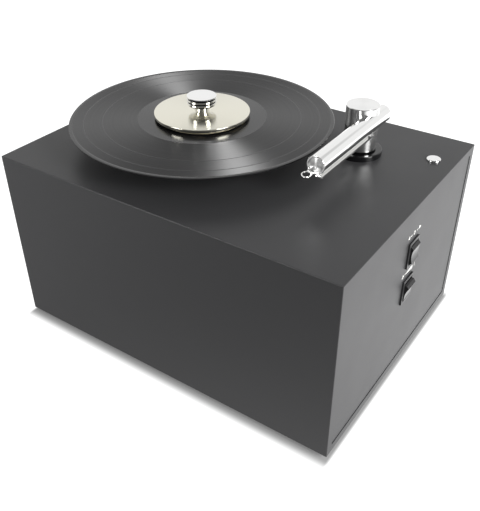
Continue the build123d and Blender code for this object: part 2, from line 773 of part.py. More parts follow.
velvet_offset = lip_gap / 2 + 0.4 + velvet_width / 2
with BuildPart() as velvet_strips:
    with BuildSketch(Plane((arm_x, 0, lip_bottom - velvet_thickness))):
        with Locations((0, (lip_front_y + lip_back_y) / 2)):
            with GridLocations(2 * velvet_offset, 1, 2, 1):
                Rectangle(velvet_width, lip_back_y - lip_front_y - 2 * velvet_margin)
    extrude(amount=velvet_thickness)
velvet_strips.part.label = "velvet_strips"
export_step(velvet_strips.part, "parts/velvet_strips.step")

# ================================================================ screws in the top panel
with BuildPart() as top_panel_screws:
    # three driven down through the bearing's flange
    screw_high = top_z + bearing_flange_thickness
    with BuildSketch(spindle_plane.offset(screw_high - bearing_screw_length)):
        with PolarLocations(bearing_screw_circle, 3, flange_screw_turn):
            Circle(machine_screw_radius)
    extrude(amount=bearing_screw_length)
    with BuildSketch(spindle_plane.offset(screw_high)):
        with PolarLocations(bearing_screw_circle, 3, flange_screw_turn):
            Circle(machine_screw_head)
    extrude(amount=machine_screw_head_height)
    # three driven up into the arm's flange
    with BuildSketch(tower_plane.offset(ceiling_z)):
        with PolarLocations(flange_screw_circle, 3, flange_screw_turn):
            Circle(machine_screw_radius)
    extrude(amount=board + flange_screw_reach)
    with BuildSketch(tower_plane.offset(ceiling_z - machine_screw_head_height)):
        with PolarLocations(flange_screw_circle, 3, flange_screw_turn):
            Circle(machine_screw_head)
    extrude(amount=machine_screw_head_height)
top_panel_screws.part.label = "top_panel_screws"
export_step(top_panel_screws.part, "parts/top_panel_screws.step")

# ================================================================ switches
with BuildPart() as switch_bezels:
    with BuildSketch(right_face):
        with Locations(*switch_places):
            RectangleRounded(bezel_width, bezel_height, 1.5)
    extrude(amount=bezel_thickness)
    chamfer(switch_bezels.faces().filter_by(Axis.X).group_by(Axis.X)[-1].edges(), bezel_edge)
    with BuildSketch(right_face):
        with Locations(*switch_places):
            Rectangle(switch_body_width, switch_body_height)
    extrude(amount=-switch_body_depth)
    with BuildSketch(right_face.offset(bezel_thickness)):
        with Locations(*switch_places):
            Rectangle(switch_well_width, switch_well_height)
    extrude(amount=-switch_well_depth, mode=Mode.SUBTRACT)
    # pivot holes through the two side walls of each body
    pivot_x = panel_face_x + bezel_thickness - pivot_depth
    for z in switch_heights:
        with BuildSketch(Plane((pivot_x, switch_y, z), x_dir=(1, 0, 0), z_dir=(0, -1, 0))):
            Circle(pivot_radius + running_gap)
        extrude(amount=switch_body_width, both=True, mode=Mode.SUBTRACT)
switch_bezels.part.label = "switch_bezels"
export_step(switch_bezels.part, "parts/switch_bezels.step")


def rocker_shape(height):
    """A rocker lying level across its pivot pin, its face hollowed between two slanted ends."""
    side_plane = Plane((pivot_x, switch_y, height), x_dir=(1, 0, 0), z_dir=(0, -1, 0))
    with BuildSketch(side_plane) as profile:
        with BuildLine():
            Polyline(
                (rocker_tip_reach, -rocker_tip_height),
                (pivot_depth, -rocker_half_height),
                (-rocker_back, -rocker_half_height),
                (-rocker_back, rocker_half_height),
                (pivot_depth, rocker_half_height),
                (rocker_tip_reach, rocker_tip_height),
            )
            ThreePointArc(
                (rocker_tip_reach, rocker_tip_height),
                (rocker_dip_reach, 0),
                (rocker_tip_reach, -rocker_tip_height),
            )
        make_face()
    extrude(profile.sketch, amount=rocker_width / 2, both=True)
    with BuildSketch(side_plane) as pin:
        Circle(pivot_radius)
    extrude(pin.sketch, amount=pivot_length / 2, both=True)


# the upper rocker has a middle position and rests there
with BuildPart() as upper_rocker:
    rocker_shape(switch_heights[0])
upper_rocker.part.label = "upper_rocker"
export_step(upper_rocker.part, "parts/upper_rocker.step")

# the lower rocker has two positions and rests with its upper end out
with BuildPart() as lower_rocker:
    rocker_shape(switch_heights[1])
lower_pivot = Axis((pivot_x, switch_y, switch_heights[1]), (0, 1, 0))
lower_rocker_tipped = lower_rocker.part.rotate(lower_pivot, rocker_tilt)
lower_rocker_tipped.label = "lower_rocker"
export_step(lower_rocker_tipped, "parts/lower_rocker.step")

# ================================================================ waste tank
tank_width = tank_x[1] - tank_x[0]
tank_depth = tank_y[1] - tank_y[0]
tank_outside = (tank_width, tank_depth, tank_corner)
tank_inside = (tank_width - 2 * tank_wall, tank_depth - 2 * tank_wall, tank_corner - tank_wall)
tank_plane = Plane(((tank_x[0] + tank_x[1]) / 2, (tank_y[0] + tank_y[1]) / 2, 0))
port_plane = Plane((outlet_x, outlet_y, 0))
drain_plane = Plane((drain_x, 0, drain_z), x_dir=(-1, 0, 0), z_dir=(0, 1, 0))

with BuildPart() as waste_tank:
    with BuildSketch(tank_plane.offset(floor_z)):
        RectangleRounded(*tank_outside)
    extrude(amount=tank_top - floor_z)
    with BuildSketch(tank_plane.offset(floor_z + tank_wall)):
        RectangleRounded(*tank_inside)
    extrude(amount=tank_top - floor_z, mode=Mode.SUBTRACT)
    with BuildSketch(drain_plane.offset(tank_y[1] - 2 * tank_wall)):
        Circle(drain_radius)
    extrude(amount=4 * tank_wall, mode=Mode.SUBTRACT)
waste_tank.part.label = "waste_tank"
export_step(waste_tank.part, "parts/waste_tank.step")

with BuildPart() as tank_gasket:
    with BuildSketch(tank_plane.offset(tank_top)):
        RectangleRounded(*tank_outside)
        RectangleRounded(*tank_inside, mode=Mode.SUBTRACT)
    extrude(amount=gasket_thickness)
tank_gasket.part.label = "tank_gasket"
export_step(tank_gasket.part, "parts/tank_gasket.step")

with BuildPart() as tank_lid:
    with BuildSketch(tank_plane.offset(lid_z)):
        RectangleRounded(*tank_outside)
    extrude(amount=lid_thickness)
    disc(tower_plane, riser_radius, lid_z, port_top)
    disc(port_plane, outlet_radius, lid_z, port_top)
    disc(tower_plane, riser_bore_radius, lid_z, port_top, Mode.SUBTRACT)
    disc(port_plane, outlet_radius - hose_wall, lid_z, port_top, Mode.SUBTRACT)
    disc(plug_plane, rinse_pipe_radius, lid_z, lid_z + lid_thickness, Mode.SUBTRACT)
tank_lid.part.label = "tank_lid"
export_step(tank_lid.part, "parts/tank_lid.step")

with BuildPart() as rinse_pipe:
    disc(plug_plane, rinse_pipe_radius, lid_z, top_z - 2)
    disc(plug_plane, rinse_bore_radius, lid_z, top_z - 2, Mode.SUBTRACT)
rinse_pipe.part.label = "rinse_pipe"
export_step(rinse_pipe.part, "parts/rinse_pipe.step")

with BuildPart() as tank_plug:
    with BuildSketch(section_plane(plug_x, plug_y)):
        with BuildLine():
            Polyline((0, top_z), (plug_radius, top_z), (plug_radius, top_z + plug_height - 0.9))
            ThreePointArc(
                (plug_radius, top_z + plug_height - 0.9),
                (plug_radius - 0.4, top_z + plug_height - 0.35),
                (plug_radius - 1.2, top_z + plug_height - 0.1),
            )
            Polyline(
                (plug_radius - 1.2, top_z + plug_height - 0.1), (0, top_z + plug_height), (0, top_z)
            )
        make_face()
    revolve(axis=plug_axis)
    disc(plug_plane, plug_stem_radius, top_z - plug_stem_length, top_z)
    # round groove that seats the sealing ring
    with BuildSketch(section_plane(plug_x, plug_y)):
        with Locations((plug_stem_radius, top_z - 9)):
            Circle(plug_ring_radius)
    revolve(axis=plug_axis, mode=Mode.SUBTRACT)
tank_plug.part.label = "tank_plug"
export_step(tank_plug.part, "parts/tank_plug.step")

with BuildPart() as plug_o_ring:
    with BuildSketch(section_plane(plug_x, plug_y)):
        with Locations((plug_stem_radius, top_z - 9)):
            Circle(plug_ring_radius)
    revolve(axis=plug_axis)
plug_o_ring.part.label = "plug_o_ring"
export_step(plug_o_ring.part, "parts/plug_o_ring.step")

with BuildPart() as drain_spout:
    with BuildSketch(drain_plane.offset(tank_y[1] - tank_wall)):
        Circle(drain_radius)
        Circle(drain_bore_radius, mode=Mode.SUBTRACT)
    extrude(amount=half_depth - 1 - tank_y[1] + tank_wall)
drain_spout.part.label = "drain_spout"
export_step(drain_spout.part, "parts/drain_spout.step")

with BuildPart() as drain_cap:
    with BuildSketch(drain_plane.offset(half_depth + drain_cap_gap)):
        Circle(drain_cap_radius)
    extrude(amount=drain_cap_thickness)
    fillet(drain_cap.faces().sort_by(Axis.Y)[-1].edges(), 1)
    with BuildSketch(drain_plane.offset(half_depth + drain_cap_gap)):
        Circle(drain_radius + drain_cap_wall)
    extrude(amount=-drain_cap_sleeve)
    with BuildSketch(drain_plane.offset(half_depth + drain_cap_gap - drain_cap_sleeve)):
        Circle(drain_radius + running_gap)
    extrude(amount=drain_cap_sleeve, mode=Mode.SUBTRACT)
drain_cap.part.label = "drain_cap"
export_step(drain_cap.part, "parts/drain_cap.step")

# ================================================================ suction hoses
with BuildPart() as suction_hose:
    disc(tower_plane, riser_radius + 2.5, lid_z + lid_thickness + 2, riser_bottom + 8)
    disc(tower_plane, riser_radius, lid_z + lid_thickness + 2, riser_bottom + 8, Mode.SUBTRACT)
suction_hose.part.label = "suction_hose"
export_step(suction_hose.part, "parts/suction_hose.step")

hose_low = lid_z + lid_thickness + 2
hose_start = Plane((outlet_x, outlet_y, hose_low))
with BuildPart() as vacuum_hose:
    with BuildLine(Plane.XZ.offset(-outlet_y)):
        hose_path = FilletPolyline(
            (outlet_x, hose_low),
            (outlet_x, hose_peak_z),
            (turbine_x, hose_peak_z),
            (turbine_x, turbine_bottom + turbine_height + 1),
            radius=hose_bend_radius,
        )
    with BuildSketch(hose_start):
        Circle(outlet_radius + hose_wall)
        Circle(outlet_radius, mode=Mode.SUBTRACT)
    sweep(path=hose_path)
vacuum_hose.part.label = "vacuum_hose"
export_step(vacuum_hose.part, "parts/vacuum_hose.step")

# ================================================================ vacuum turbine
turbine_top = turbine_bottom + turbine_height
chamber_low = turbine_bottom + turbine_wall
chamber_high = turbine_top - turbine_wall
motor_bore_low = turbine_bottom - 40
exhaust_plane = Plane((turbine_x, turbine_y, exhaust_z), x_dir=(-1, 0, 0), z_dir=(0, 1, 0))
with BuildPart() as turbine_housing:
    disc(turbine_plane, turbine_radius, turbine_bottom, turbine_top)
    disc(exhaust_plane, exhaust_pipe_radius, 0, inner_half_depth - turbine_y)
    disc(turbine_plane, outlet_radius, turbine_top, inlet_nipple_top)
    disc(turbine_plane, turbine_radius - turbine_wall, chamber_low, chamber_high, Mode.SUBTRACT)
    disc(turbine_plane, outlet_radius - hose_wall, chamber_high, inlet_nipple_top, Mode.SUBTRACT)
    disc(turbine_plane, impeller_shaft_radius + 0.5, turbine_bottom, chamber_low, Mode.SUBTRACT)
    disc(exhaust_plane, exhaust_pipe_radius - hose_wall, 0, inner_half_depth - turbine_y, Mode.SUBTRACT)
turbine_housing.part.label = "turbine_housing"
export_step(turbine_housing.part, "parts/turbine_housing.step")

with BuildPart() as vacuum_motor:
    disc(turbine_plane, vacuum_motor_radius, vacuum_motor_bottom, turbine_bottom)
    fillet(vacuum_motor.faces().sort_by(Axis.Z)[0].edges(), 3)
    disc(turbine_plane, impeller_shaft_radius + running_gap, motor_bore_low, turbine_bottom, Mode.SUBTRACT)
vacuum_motor.part.label = "vacuum_motor"
export_step(vacuum_motor.part, "parts/vacuum_motor.step")

# rubber cup that the motor stands in, so that it doesn't shake the case
with BuildPart() as turbine_seat:
    disc(turbine_plane, seat_radius, floor_z, vacuum_motor_bottom)
    disc(turbine_plane, seat_radius - 9, floor_z + 4, vacuum_motor_bottom, Mode.SUBTRACT)
turbine_seat.part.label = "turbine_seat"
export_step(turbine_seat.part, "parts/turbine_seat.step")

impeller_blade_outer = impeller_radius - 0.5
impeller_blade_middle = (impeller_blade_outer + impeller_blade_inner) / 2
impeller_blade_length = impeller_blade_outer - impeller_blade_inner
with BuildPart() as impeller:
    disc(turbine_plane, impeller_radius, impeller_bottom, impeller_bottom + impeller_plate)
    disc(turbine_plane, impeller_hub_radius, impeller_bottom, impeller_top)
    with BuildSketch(turbine_plane.offset(impeller_bottom)):
        with PolarLocations(impeller_blade_middle, impeller_blades):
            Rectangle(impeller_blade_length, impeller_blade_thickness)
    extrude(amount=impeller_height)
    disc(turbine_plane, impeller_shaft_radius, impeller_bottom, impeller_top, Mode.SUBTRACT)
impeller.part.label = "impeller"
export_step(impeller.part, "parts/impeller.step")

with BuildPart() as impeller_shaft:
    disc(turbine_plane, impeller_shaft_radius, motor_bore_low + 1, impeller_top)
impeller_shaft.part.label = "impeller_shaft"
export_step(impeller_shaft.part, "parts/impeller_shaft.step")

with BuildPart() as exhaust_grille:
    with BuildSketch(back_face):
        with Locations((-turbine_x, exhaust_z)):
            RectangleRounded(grille_size, grille_size, 4)
            with GridLocations(1, grille_slot_pitch, 1, grille_slot_count):
                SlotOverall(grille_slot[0], grille_slot[1], mode=Mode.SUBTRACT)
            with GridLocations(grille_screw_spacing, grille_screw_spacing, 2, 2):
                Circle(machine_screw_radius + 0.05, mode=Mode.SUBTRACT)
    extrude(amount=grille_thickness)
exhaust_grille.part.label = "exhaust_grille"
export_step(exhaust_grille.part, "parts/exhaust_grille.step")

# ================================================================ mains inlet
with BuildPart() as mains_inlet:
    with BuildSketch(back_face):
        with Locations((-inlet_x, inlet_z)):
            RectangleRounded(inlet_flange[0], inlet_flange[1], 4)
            with Locations((-inlet_screw_x, 0), (inlet_screw_x, 0)):
                Circle(machine_screw_radius + 0.05, mode=Mode.SUBTRACT)
    extrude(amount=inlet_flange_thickness)
    with BuildSketch(back_face):
        with Locations((-inlet_x, inlet_z)):
            Rectangle(inlet_body[0], inlet_body[1])
    extrude(amount=-inlet_body_depth)
    with BuildSketch(back_face.offset(inlet_flange_thickness)):
        with Locations((-inlet_x, inlet_z)):
            Rectangle(inlet_cavity[0], inlet_cavity[1])
    extrude(amount=-inlet_cavity_depth, mode=Mode.SUBTRACT)
mains_inlet.part.label = "mains_inlet"
export_step(mains_inlet.part, "parts/mains_inlet.step")

with BuildPart() as inlet_pins:
    with BuildSketch(back_face.offset(inlet_flange_thickness - inlet_cavity_depth)):
        with Locations(*[(-inlet_x + px, inlet_z + pz) for px, pz in pin_places]):
            Rectangle(pin_size[0], pin_size[1])
    extrude(amount=pin_length)
inlet_pins.part.label = "inlet_pins"
export_step(inlet_pins.part, "parts/inlet_pins.step")


def back_screw_set(places, face_height):
    """Small pan-head screws driven into the back, heads on a face that stands out by face_height."""
    with BuildSketch(back_face.offset(face_height)) as heads:
        with Locations(*places):
            Circle(machine_screw_head)
    extrude(heads.sketch, amount=pan_head_height)
    with BuildSketch(back_face.offset(face_height)) as shanks:
        with Locations(*places):
            Circle(machine_screw_radius)
    extrude(shanks.sketch, amount=-pan_screw_length)


inlet_screw_places = [(-inlet_x + dx, inlet_z) for dx in (-inlet_screw_x, inlet_screw_x)]
grille_half = grille_screw_spacing / 2
grille_screw_places = [
    (-turbine_x + sx * grille_half, exhaust_z + sz * grille_half) for sx in (-1, 1) for sz in (-1, 1)
]
with BuildPart() as back_screws:
    back_screw_set(inlet_screw_places, inlet_flange_thickness)
    back_screw_set(grille_screw_places, grille_thickness)
back_screws.part.label = "back_screws"
export_step(back_screws.part, "parts/back_screws.step")
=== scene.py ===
import math

import bmesh
import bpy
from mathutils import Matrix, Vector


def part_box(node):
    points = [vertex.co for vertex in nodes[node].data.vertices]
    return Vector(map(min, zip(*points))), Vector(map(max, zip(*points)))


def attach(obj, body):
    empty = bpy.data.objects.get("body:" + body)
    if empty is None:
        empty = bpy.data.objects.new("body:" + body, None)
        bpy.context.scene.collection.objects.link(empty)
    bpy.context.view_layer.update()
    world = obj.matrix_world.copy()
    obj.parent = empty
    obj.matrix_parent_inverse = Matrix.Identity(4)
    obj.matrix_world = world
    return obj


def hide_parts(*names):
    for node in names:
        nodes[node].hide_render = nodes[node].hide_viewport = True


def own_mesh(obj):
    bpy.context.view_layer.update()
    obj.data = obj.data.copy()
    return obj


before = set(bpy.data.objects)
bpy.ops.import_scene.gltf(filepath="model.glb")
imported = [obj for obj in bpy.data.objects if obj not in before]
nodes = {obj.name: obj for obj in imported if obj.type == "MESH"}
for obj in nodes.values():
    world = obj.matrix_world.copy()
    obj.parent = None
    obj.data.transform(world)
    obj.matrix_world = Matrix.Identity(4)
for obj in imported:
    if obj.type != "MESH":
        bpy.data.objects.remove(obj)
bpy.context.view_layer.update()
mm = 0.001
print("frame loaded:", len(nodes), "nodes")


# ---- small helpers


def toLinear(hexColour):
    # sRGB hex to the linear colour that shaders work in
    channels = [int(hexColour[i:i + 2], 16) / 255 for i in (1, 3, 5)]
    return [c / 12.92 if c <= 0.04045 else ((c + 0.055) / 1.055) ** 2.4 for c in channels] + [1.0]


def addNode(tree, kind, settings={}, links={}):
    # a node with its properties or input values set, and its inputs linked
    made = tree.nodes.new(kind)
    for key, value in settings.items():
        if isinstance(key, str) and key in made.bl_rna.properties:
            setattr(made, key, value)
        else:
            made.inputs[key].default_value = value
    for key, source in links.items():
        tree.links.new(source, made.inputs[key])
    return made


def startMaterial(name, shader):
    material = bpy.data.materials.new(name)
    material.use_nodes = True
    tree = material.node_tree
    tree.nodes.clear()
    principled = addNode(tree, "ShaderNodeBsdfPrincipled", shader)
    addNode(tree, "ShaderNodeOutputMaterial", {}, {"Surface": principled.outputs["BSDF"]})
    return material, tree, principled


def addObject(name, data):
    made = bpy.data.objects.new(name, data)
    bpy.context.scene.collection.objects.link(made)
    return made


def middleOf(node):
    low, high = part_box(node)
    return (low + high) / 2


def aboutAxis(point):
    # the place of an upright axis through a point
    return Vector((point[0], point[1], 0))


spindleAxis = aboutAxis(middleOf("spindle"))
towerAxis = aboutAxis(middleOf("arm_tower"))
tubeAxis = middleOf("arm_tube")
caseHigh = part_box("top_panel")[1]


# ---- materials

# what a user would change about the finishes; grain, patches, pitch and depths are real
# sizes in millimetres
finish = {
    "foilColour": "#2a2a2b",
    "foilRoughness": (0.40, 0.42),
    "foilGloss": 0.33,
    "foilGrain": 0.35,
    "foilDepth": 0.012,
    "foilPatch": 45,
    "vinylColour": "#0b0b0c",
    "grooveGloss": 0.42,
    "grooveStretch": 0.92,
    "grooveRoughness": (0.33, 0.38),
    "groovePitch": 0.9,
    "grooveDepth": 0.003,
    "loudPatch": 2.4,               # width of a louder or softer stretch of the grooves
    "loudSpan": (0.3, 0.7),
    "chromeColour": "#eeeeed",
    "nickelColour": "#e2dfd1",
    "scratchGrain": 1.8,
    "scratchDepth": 0.0006,
    "hazePatch": 12,
    "hazeRise": 1.8,                # roughness of the dullest patches, as a share of the clearest
    "dullPatch": 25,                # in grains
    "dullSpan": (0.85, 1.15),       # shares of the roughness
    "turningGrain": 1.5,
    "turningDepth": 0.0004,
    "steelColour": "#a9a9a6",
    "zincColour": "#b4b3aa",
    "aluminiumColour": "#c3c4c6",
    "brassColour": "#c79a4b",
    "bronzeColour": "#8c5f34",
    "glossBlack": "#0a0a0b",
    # painted shade laid on the floors of the knob's grooves
    "grooveShadeBlack": "#0c0c0c",
    "rubberColour": "#131313",
    "hoseColour": "#1b1b1c",
    "plasticBlack": "#121213",
    "milkyWhite": "#c9c8bf",
    "markWhite": "#c9c9c5",
    "paperColour": "#cbbf9f",
    "printColour": "#7c2f27",
    "labelRadius": 50,
    "paperFibre": 0.6,
    "velvetColour": "#0d0d10",
    "spruceColours": ("#a98252", "#d9bc8c"),
    "spruceGrain": (12, 260, 260),  # waves to the metre along and across the stick
}
noiseSpan = (0.35, 0.65)            # where nearly all values of a noise texture lie


def grainBump(tree, principled, size, depth, detail=2.0):
    # fine uneven relief of one real grain size, on the piece's own coordinates
    place = addNode(tree, "ShaderNodeTexCoord")
    grain = addNode(tree, "ShaderNodeTexNoise", {"Scale": 1 / (size * mm), "Detail": detail},
                    {"Vector": place.outputs["Object"]})
    bump = addNode(tree, "ShaderNodeBump", {"Distance": depth * mm, "Strength": 1.0},
                   {"Height": grain.outputs["Fac"]})
    tree.links.new(bump.outputs["Normal"], principled.inputs["Normal"])
    return place


def cloudyRoughness(tree, principled, place, patch, low, high):
    # roughness that drifts between two values in patches of one real size
    cloud = addNode(tree, "ShaderNodeTexNoise", {"Scale": 1 / (patch * mm), "Detail": 4.0},
                    {"Vector": place.outputs["Object"]})
    spread = addNode(tree, "ShaderNodeMapRange", {
        "From Min": noiseSpan[0], "From Max": noiseSpan[1], "To Min": low, "To Max": high},
                     {"Value": cloud.outputs["Fac"]})
    tree.links.new(spread.outputs["Result"], principled.inputs["Roughness"])


def distanceOut(tree, place, centre):
    # how far each point lies from an upright axis
    centred = addNode(tree, "ShaderNodeMapping", {"Location": (-centre.x, -centre.y, 0)},
                      {"Vector": place.outputs["Object"]})
    flat = addNode(tree, "ShaderNodeVectorMath", {"operation": "MULTIPLY", 1: (1, 1, 0)},
                   {0: centred.outputs["Vector"]})
    return addNode(tree, "ShaderNodeVectorMath", {"operation": "LENGTH"}, {0: flat.outputs["Vector"]})


def satinFoilMaterial(name, colour):
    # black PVC foil pressed on board: dark, with a wide soft sheen and a very fine pebbled grain
    material, tree, principled = startMaterial(name, {"Base Color": toLinear(colour),
                                                      "Specular IOR Level": finish["foilGloss"]})
    place = grainBump(tree, principled, finish["foilGrain"], finish["foilDepth"])
    cloudyRoughness(tree, principled, place, finish["foilPatch"], *finish["foilRoughness"])
    return material


def polishedMaterial(name, colour, roughness, metallic=1.0):
    # plating or enamel buffed to a mirror: sharp reflections, faintly hazed by handling
    material, tree, principled = startMaterial(name, {"Base Color": toLinear(colour), "Metallic": metallic})
    place = grainBump(tree, principled, finish["scratchGrain"], finish["scratchDepth"], detail=3.0)
    cloudyRoughness(tree, principled, place, finish["hazePatch"], roughness,
                    roughness * finish["hazeRise"])
    return material


def turnedMetal(name, colour, centre, roughness, stretch, axis="Z"):
    # metal finished on a lathe: the fine turning marks stretch each reflection straight
    # across them, which gives upright streaks on a wall and wedges of light on a face
    material, tree, principled = startMaterial(name, {
        "Base Color": toLinear(colour), "Metallic": 1.0, "Roughness": roughness, "Anisotropic": stretch})
    along = (0, 0, 1) if axis == "Z" else (0, 1, 0)
    across = tuple(1 - part for part in along)
    place = addNode(tree, "ShaderNodeTexCoord")
    centred = addNode(tree, "ShaderNodeMapping", {"Location": tuple(-part for part in centre)},
                      {"Vector": place.outputs["Object"]})
    flat = addNode(tree, "ShaderNodeVectorMath", {"operation": "MULTIPLY", 1: across},
                   {0: centred.outputs["Vector"]})
    outward = addNode(tree, "ShaderNodeVectorMath", {"operation": "NORMALIZE"},
                      {0: flat.outputs["Vector"]})
    spread = addNode(tree, "ShaderNodeVectorMath", {"operation": "ADD", 1: along},
                     {0: outward.outputs["Vector"]})
    turned = addNode(tree, "ShaderNodeVectorTransform", {"vector_type": "VECTOR", "convert_from": "OBJECT",
                                                         "convert_to": "WORLD"},
                     {"Vector": spread.outputs["Vector"]})
    tree.links.new(turned.outputs["Vector"], principled.inputs["Tangent"])
    grainBump(tree, principled, finish["turningGrain"], finish["turningDepth"], detail=3.0)
    return material


def dullMaterial(name, colour, roughness, grain, depth, metallic=0.0):
    # moulded or cast stuff: one colour broken by its own grain and uneven dulling
    material, tree, principled = startMaterial(name, {"Base Color": toLinear(colour),
                                                      "Metallic": metallic})
    place = grainBump(tree, principled, grain, depth)
    clear, dull = finish["dullSpan"]
    cloudyRoughness(tree, principled, place, grain * finish["dullPatch"], roughness * clear,
                    roughness * dull)
    return material


def groovedVinylMaterial():
    # pressed vinyl with cut grooves: black gloss that smears the light across the grooves.
    # the real grooves, about 0.1 mm apart, are drawn coarser so that some of them show
    material, tree, principled = startMaterial("groovedVinyl", {
        "Base Color": toLinear(finish["vinylColour"]), "Specular IOR Level": finish["grooveGloss"],
        "Anisotropic": finish["grooveStretch"]})
    place = addNode(tree, "ShaderNodeTexCoord")
    radius = distanceOut(tree, place, spindleAxis)
    loudness = addNode(tree, "ShaderNodeTexNoise", {
        "noise_dimensions": "1D", "Scale": 1 / (finish["loudPatch"] * mm), "Detail": 5.0},
                       {"W": radius.outputs["Value"]})
    soft, loud = finish["loudSpan"]
    smooth, rough = finish["grooveRoughness"]
    spread = addNode(tree, "ShaderNodeMapRange", {
        "From Min": soft, "From Max": loud, "To Min": smooth, "To Max": rough},
                     {"Value": loudness.outputs["Fac"]})
    tree.links.new(spread.outputs["Result"], principled.inputs["Roughness"])
    turns = addNode(tree, "ShaderNodeMath", {
        "operation": "MULTIPLY", 1: math.tau / (finish["groovePitch"] * mm)},
                    {0: radius.outputs["Value"]})
    rings = addNode(tree, "ShaderNodeMath", {"operation": "SINE"}, {0: turns.outputs["Value"]})
    bump = addNode(tree, "ShaderNodeBump", {"Distance": finish["grooveDepth"] * mm},
                   {"Height": rings.outputs["Value"]})
    tree.links.new(bump.outputs["Normal"], principled.inputs["Normal"])
    tangent = addNode(tree, "ShaderNodeTangent", {"direction_type": "UV_MAP", "uv_map": "acrossGrooves"})
    tree.links.new(tangent.outputs["Tangent"], principled.inputs["Tangent"])
    return material


def plainVinylMaterial():
    # the ungrooved lead-out and rim: the same vinyl, smooth from the press
    material, tree, principled = startMaterial("smoothVinyl", {
        "Base Color": toLinear(finish["vinylColour"]), "IOR": 1.52})
    place = grainBump(tree, principled, size=2.5, depth=0.0008)
    cloudyRoughness(tree, principled, place, patch=20, low=0.16, high=0.24)
    return material


def paperLabelMaterial():
    # uncoated label paper with a plain printed band, its edge ring and a centre ring
    material, tree, principled = startMaterial("printedPaper", {"Roughness": 0.75})
    place = addNode(tree, "ShaderNodeTexCoord")
    radius = distanceOut(tree, place, spindleAxis)
    share = addNode(tree, "ShaderNodeMath", {"operation": "DIVIDE", 1: finish["labelRadius"] * mm},
                    {0: radius.outputs["Value"]})
    bands = addNode(tree, "ShaderNodeValToRGB", {}, {"Fac": share.outputs["Value"]})
    bands.color_ramp.interpolation = "CONSTANT"
    paper, ink = finish["paperColour"], finish["printColour"]
    stops = [(0.0, paper), (0.22, ink), (0.25, paper), (0.62, ink), (0.93, paper)]
    while len(bands.color_ramp.elements) < len(stops):
        bands.color_ramp.elements.new(0.5)
    for element, (position, colour) in zip(bands.color_ramp.elements, stops):
        element.position = position
        element.color = toLinear(colour)
    tree.links.new(bands.outputs["Color"], principled.inputs["Base Color"])
    grainBump(tree, principled, finish["paperFibre"], depth=0.02, detail=6.0)
    return material


def velvetMaterial():
    # short black nylon pile: no gloss, a pale rim where the pile turns away
    material, tree, principled = startMaterial("blackVelvet", {
        "Base Color": toLinear(finish["velvetColour"]), "Roughness": 0.95, "Sheen Weight": 0.6,
        "Sheen Roughness": 0.35})
    grainBump(tree, principled, size=0.25, depth=0.12, detail=4.0)
    return material


def woodMaterial():
    # planed spruce stick: straight pale grain along its length
    material, tree, principled = startMaterial("planedSpruce", {"Roughness": 0.7})
    place = addNode(tree, "ShaderNodeTexCoord")
    stretched = addNode(tree, "ShaderNodeMapping", {"Scale": finish["spruceGrain"]},
                        {"Vector": place.outputs["Object"]})
    grain = addNode(tree, "ShaderNodeTexNoise", {"Scale": 1.0, "Detail": 6.0, "Distortion": 0.6},
                    {"Vector": stretched.outputs["Vector"]})
    tint = addNode(tree, "ShaderNodeValToRGB", {}, {"Fac": grain.outputs["Fac"]})
    for element, colour in zip(tint.color_ramp.elements, finish["spruceColours"]):
        element.color = toLinear(colour)
    tree.links.new(tint.outputs["Color"], principled.inputs["Base Color"])
    return material


satinFoil = satinFoilMaterial("blackFoil", finish["foilColour"])
chrome = polishedMaterial("polishedChrome", finish["chromeColour"], 0.045)
glossBlack = polishedMaterial("glossBlackEnamel", finish["glossBlack"], 0.08, metallic=0.0)
# colour, axis, roughness, and how far the turning marks stretch a reflection
towerChrome = turnedMetal("turnedChromeTower", finish["chromeColour"], towerAxis, 0.2, 0.8)
capChrome = turnedMetal("turnedChromeCap", finish["chromeColour"], tubeAxis, 0.3, 0.95, "Y")
knobChrome = turnedMetal("turnedChromeKnob", finish["chromeColour"], spindleAxis, 0.06, 0.3)
nickel = turnedMetal("turnedNickel", finish["nickelColour"], spindleAxis, 0.2, 0.88)
# colour, roughness, size of the grain, its depth, metallic
# painted shade for the knob's grooves: near-black metal in place of the shade between its ribs
blackenedGroove = dullMaterial("blackenedGroove", finish["grooveShadeBlack"], 0.5, 0.3, 0.004, 1.0)
steel = dullMaterial("rolledSteel", finish["steelColour"], 0.34, 0.6, 0.004, 1.0)
zinc = dullMaterial("zincPlate", finish["zincColour"], 0.3, 0.8, 0.004, 1.0)
aluminium = dullMaterial("machinedAluminium", finish["aluminiumColour"], 0.36, 0.5, 0.005, 1.0)
brass = dullMaterial("brightBrass", finish["brassColour"], 0.28, 0.7, 0.003, 1.0)
bronze = dullMaterial("sinteredBronze", finish["bronzeColour"], 0.45, 0.3, 0.01, 1.0)
rubber = dullMaterial("mouldedRubber", finish["rubberColour"], 0.62, 0.5, 0.03)
hoseRubber = dullMaterial("extrudedRubber", finish["hoseColour"], 0.5, 1.2, 0.02)
blackPlastic = dullMaterial("mouldedBlackPlastic", finish["plasticBlack"], 0.34, 0.45, 0.004)
rockerPlastic = dullMaterial("glossyRockerPlastic", finish["glossBlack"], 0.2, 0.8, 0.0012)
whitePlastic = dullMaterial("milkyPlastic", finish["milkyWhite"], 0.42, 1.0, 0.008)
whiteInk = dullMaterial("screenPrintedWhite", finish["markWhite"], 0.55, 0.3, 0.002)
groovedVinyl = groovedVinylMaterial()
smoothVinyl = plainVinylMaterial()
labelPaper = paperLabelMaterial()
velvet = velvetMaterial()
spruce = woodMaterial()
print("materials made")

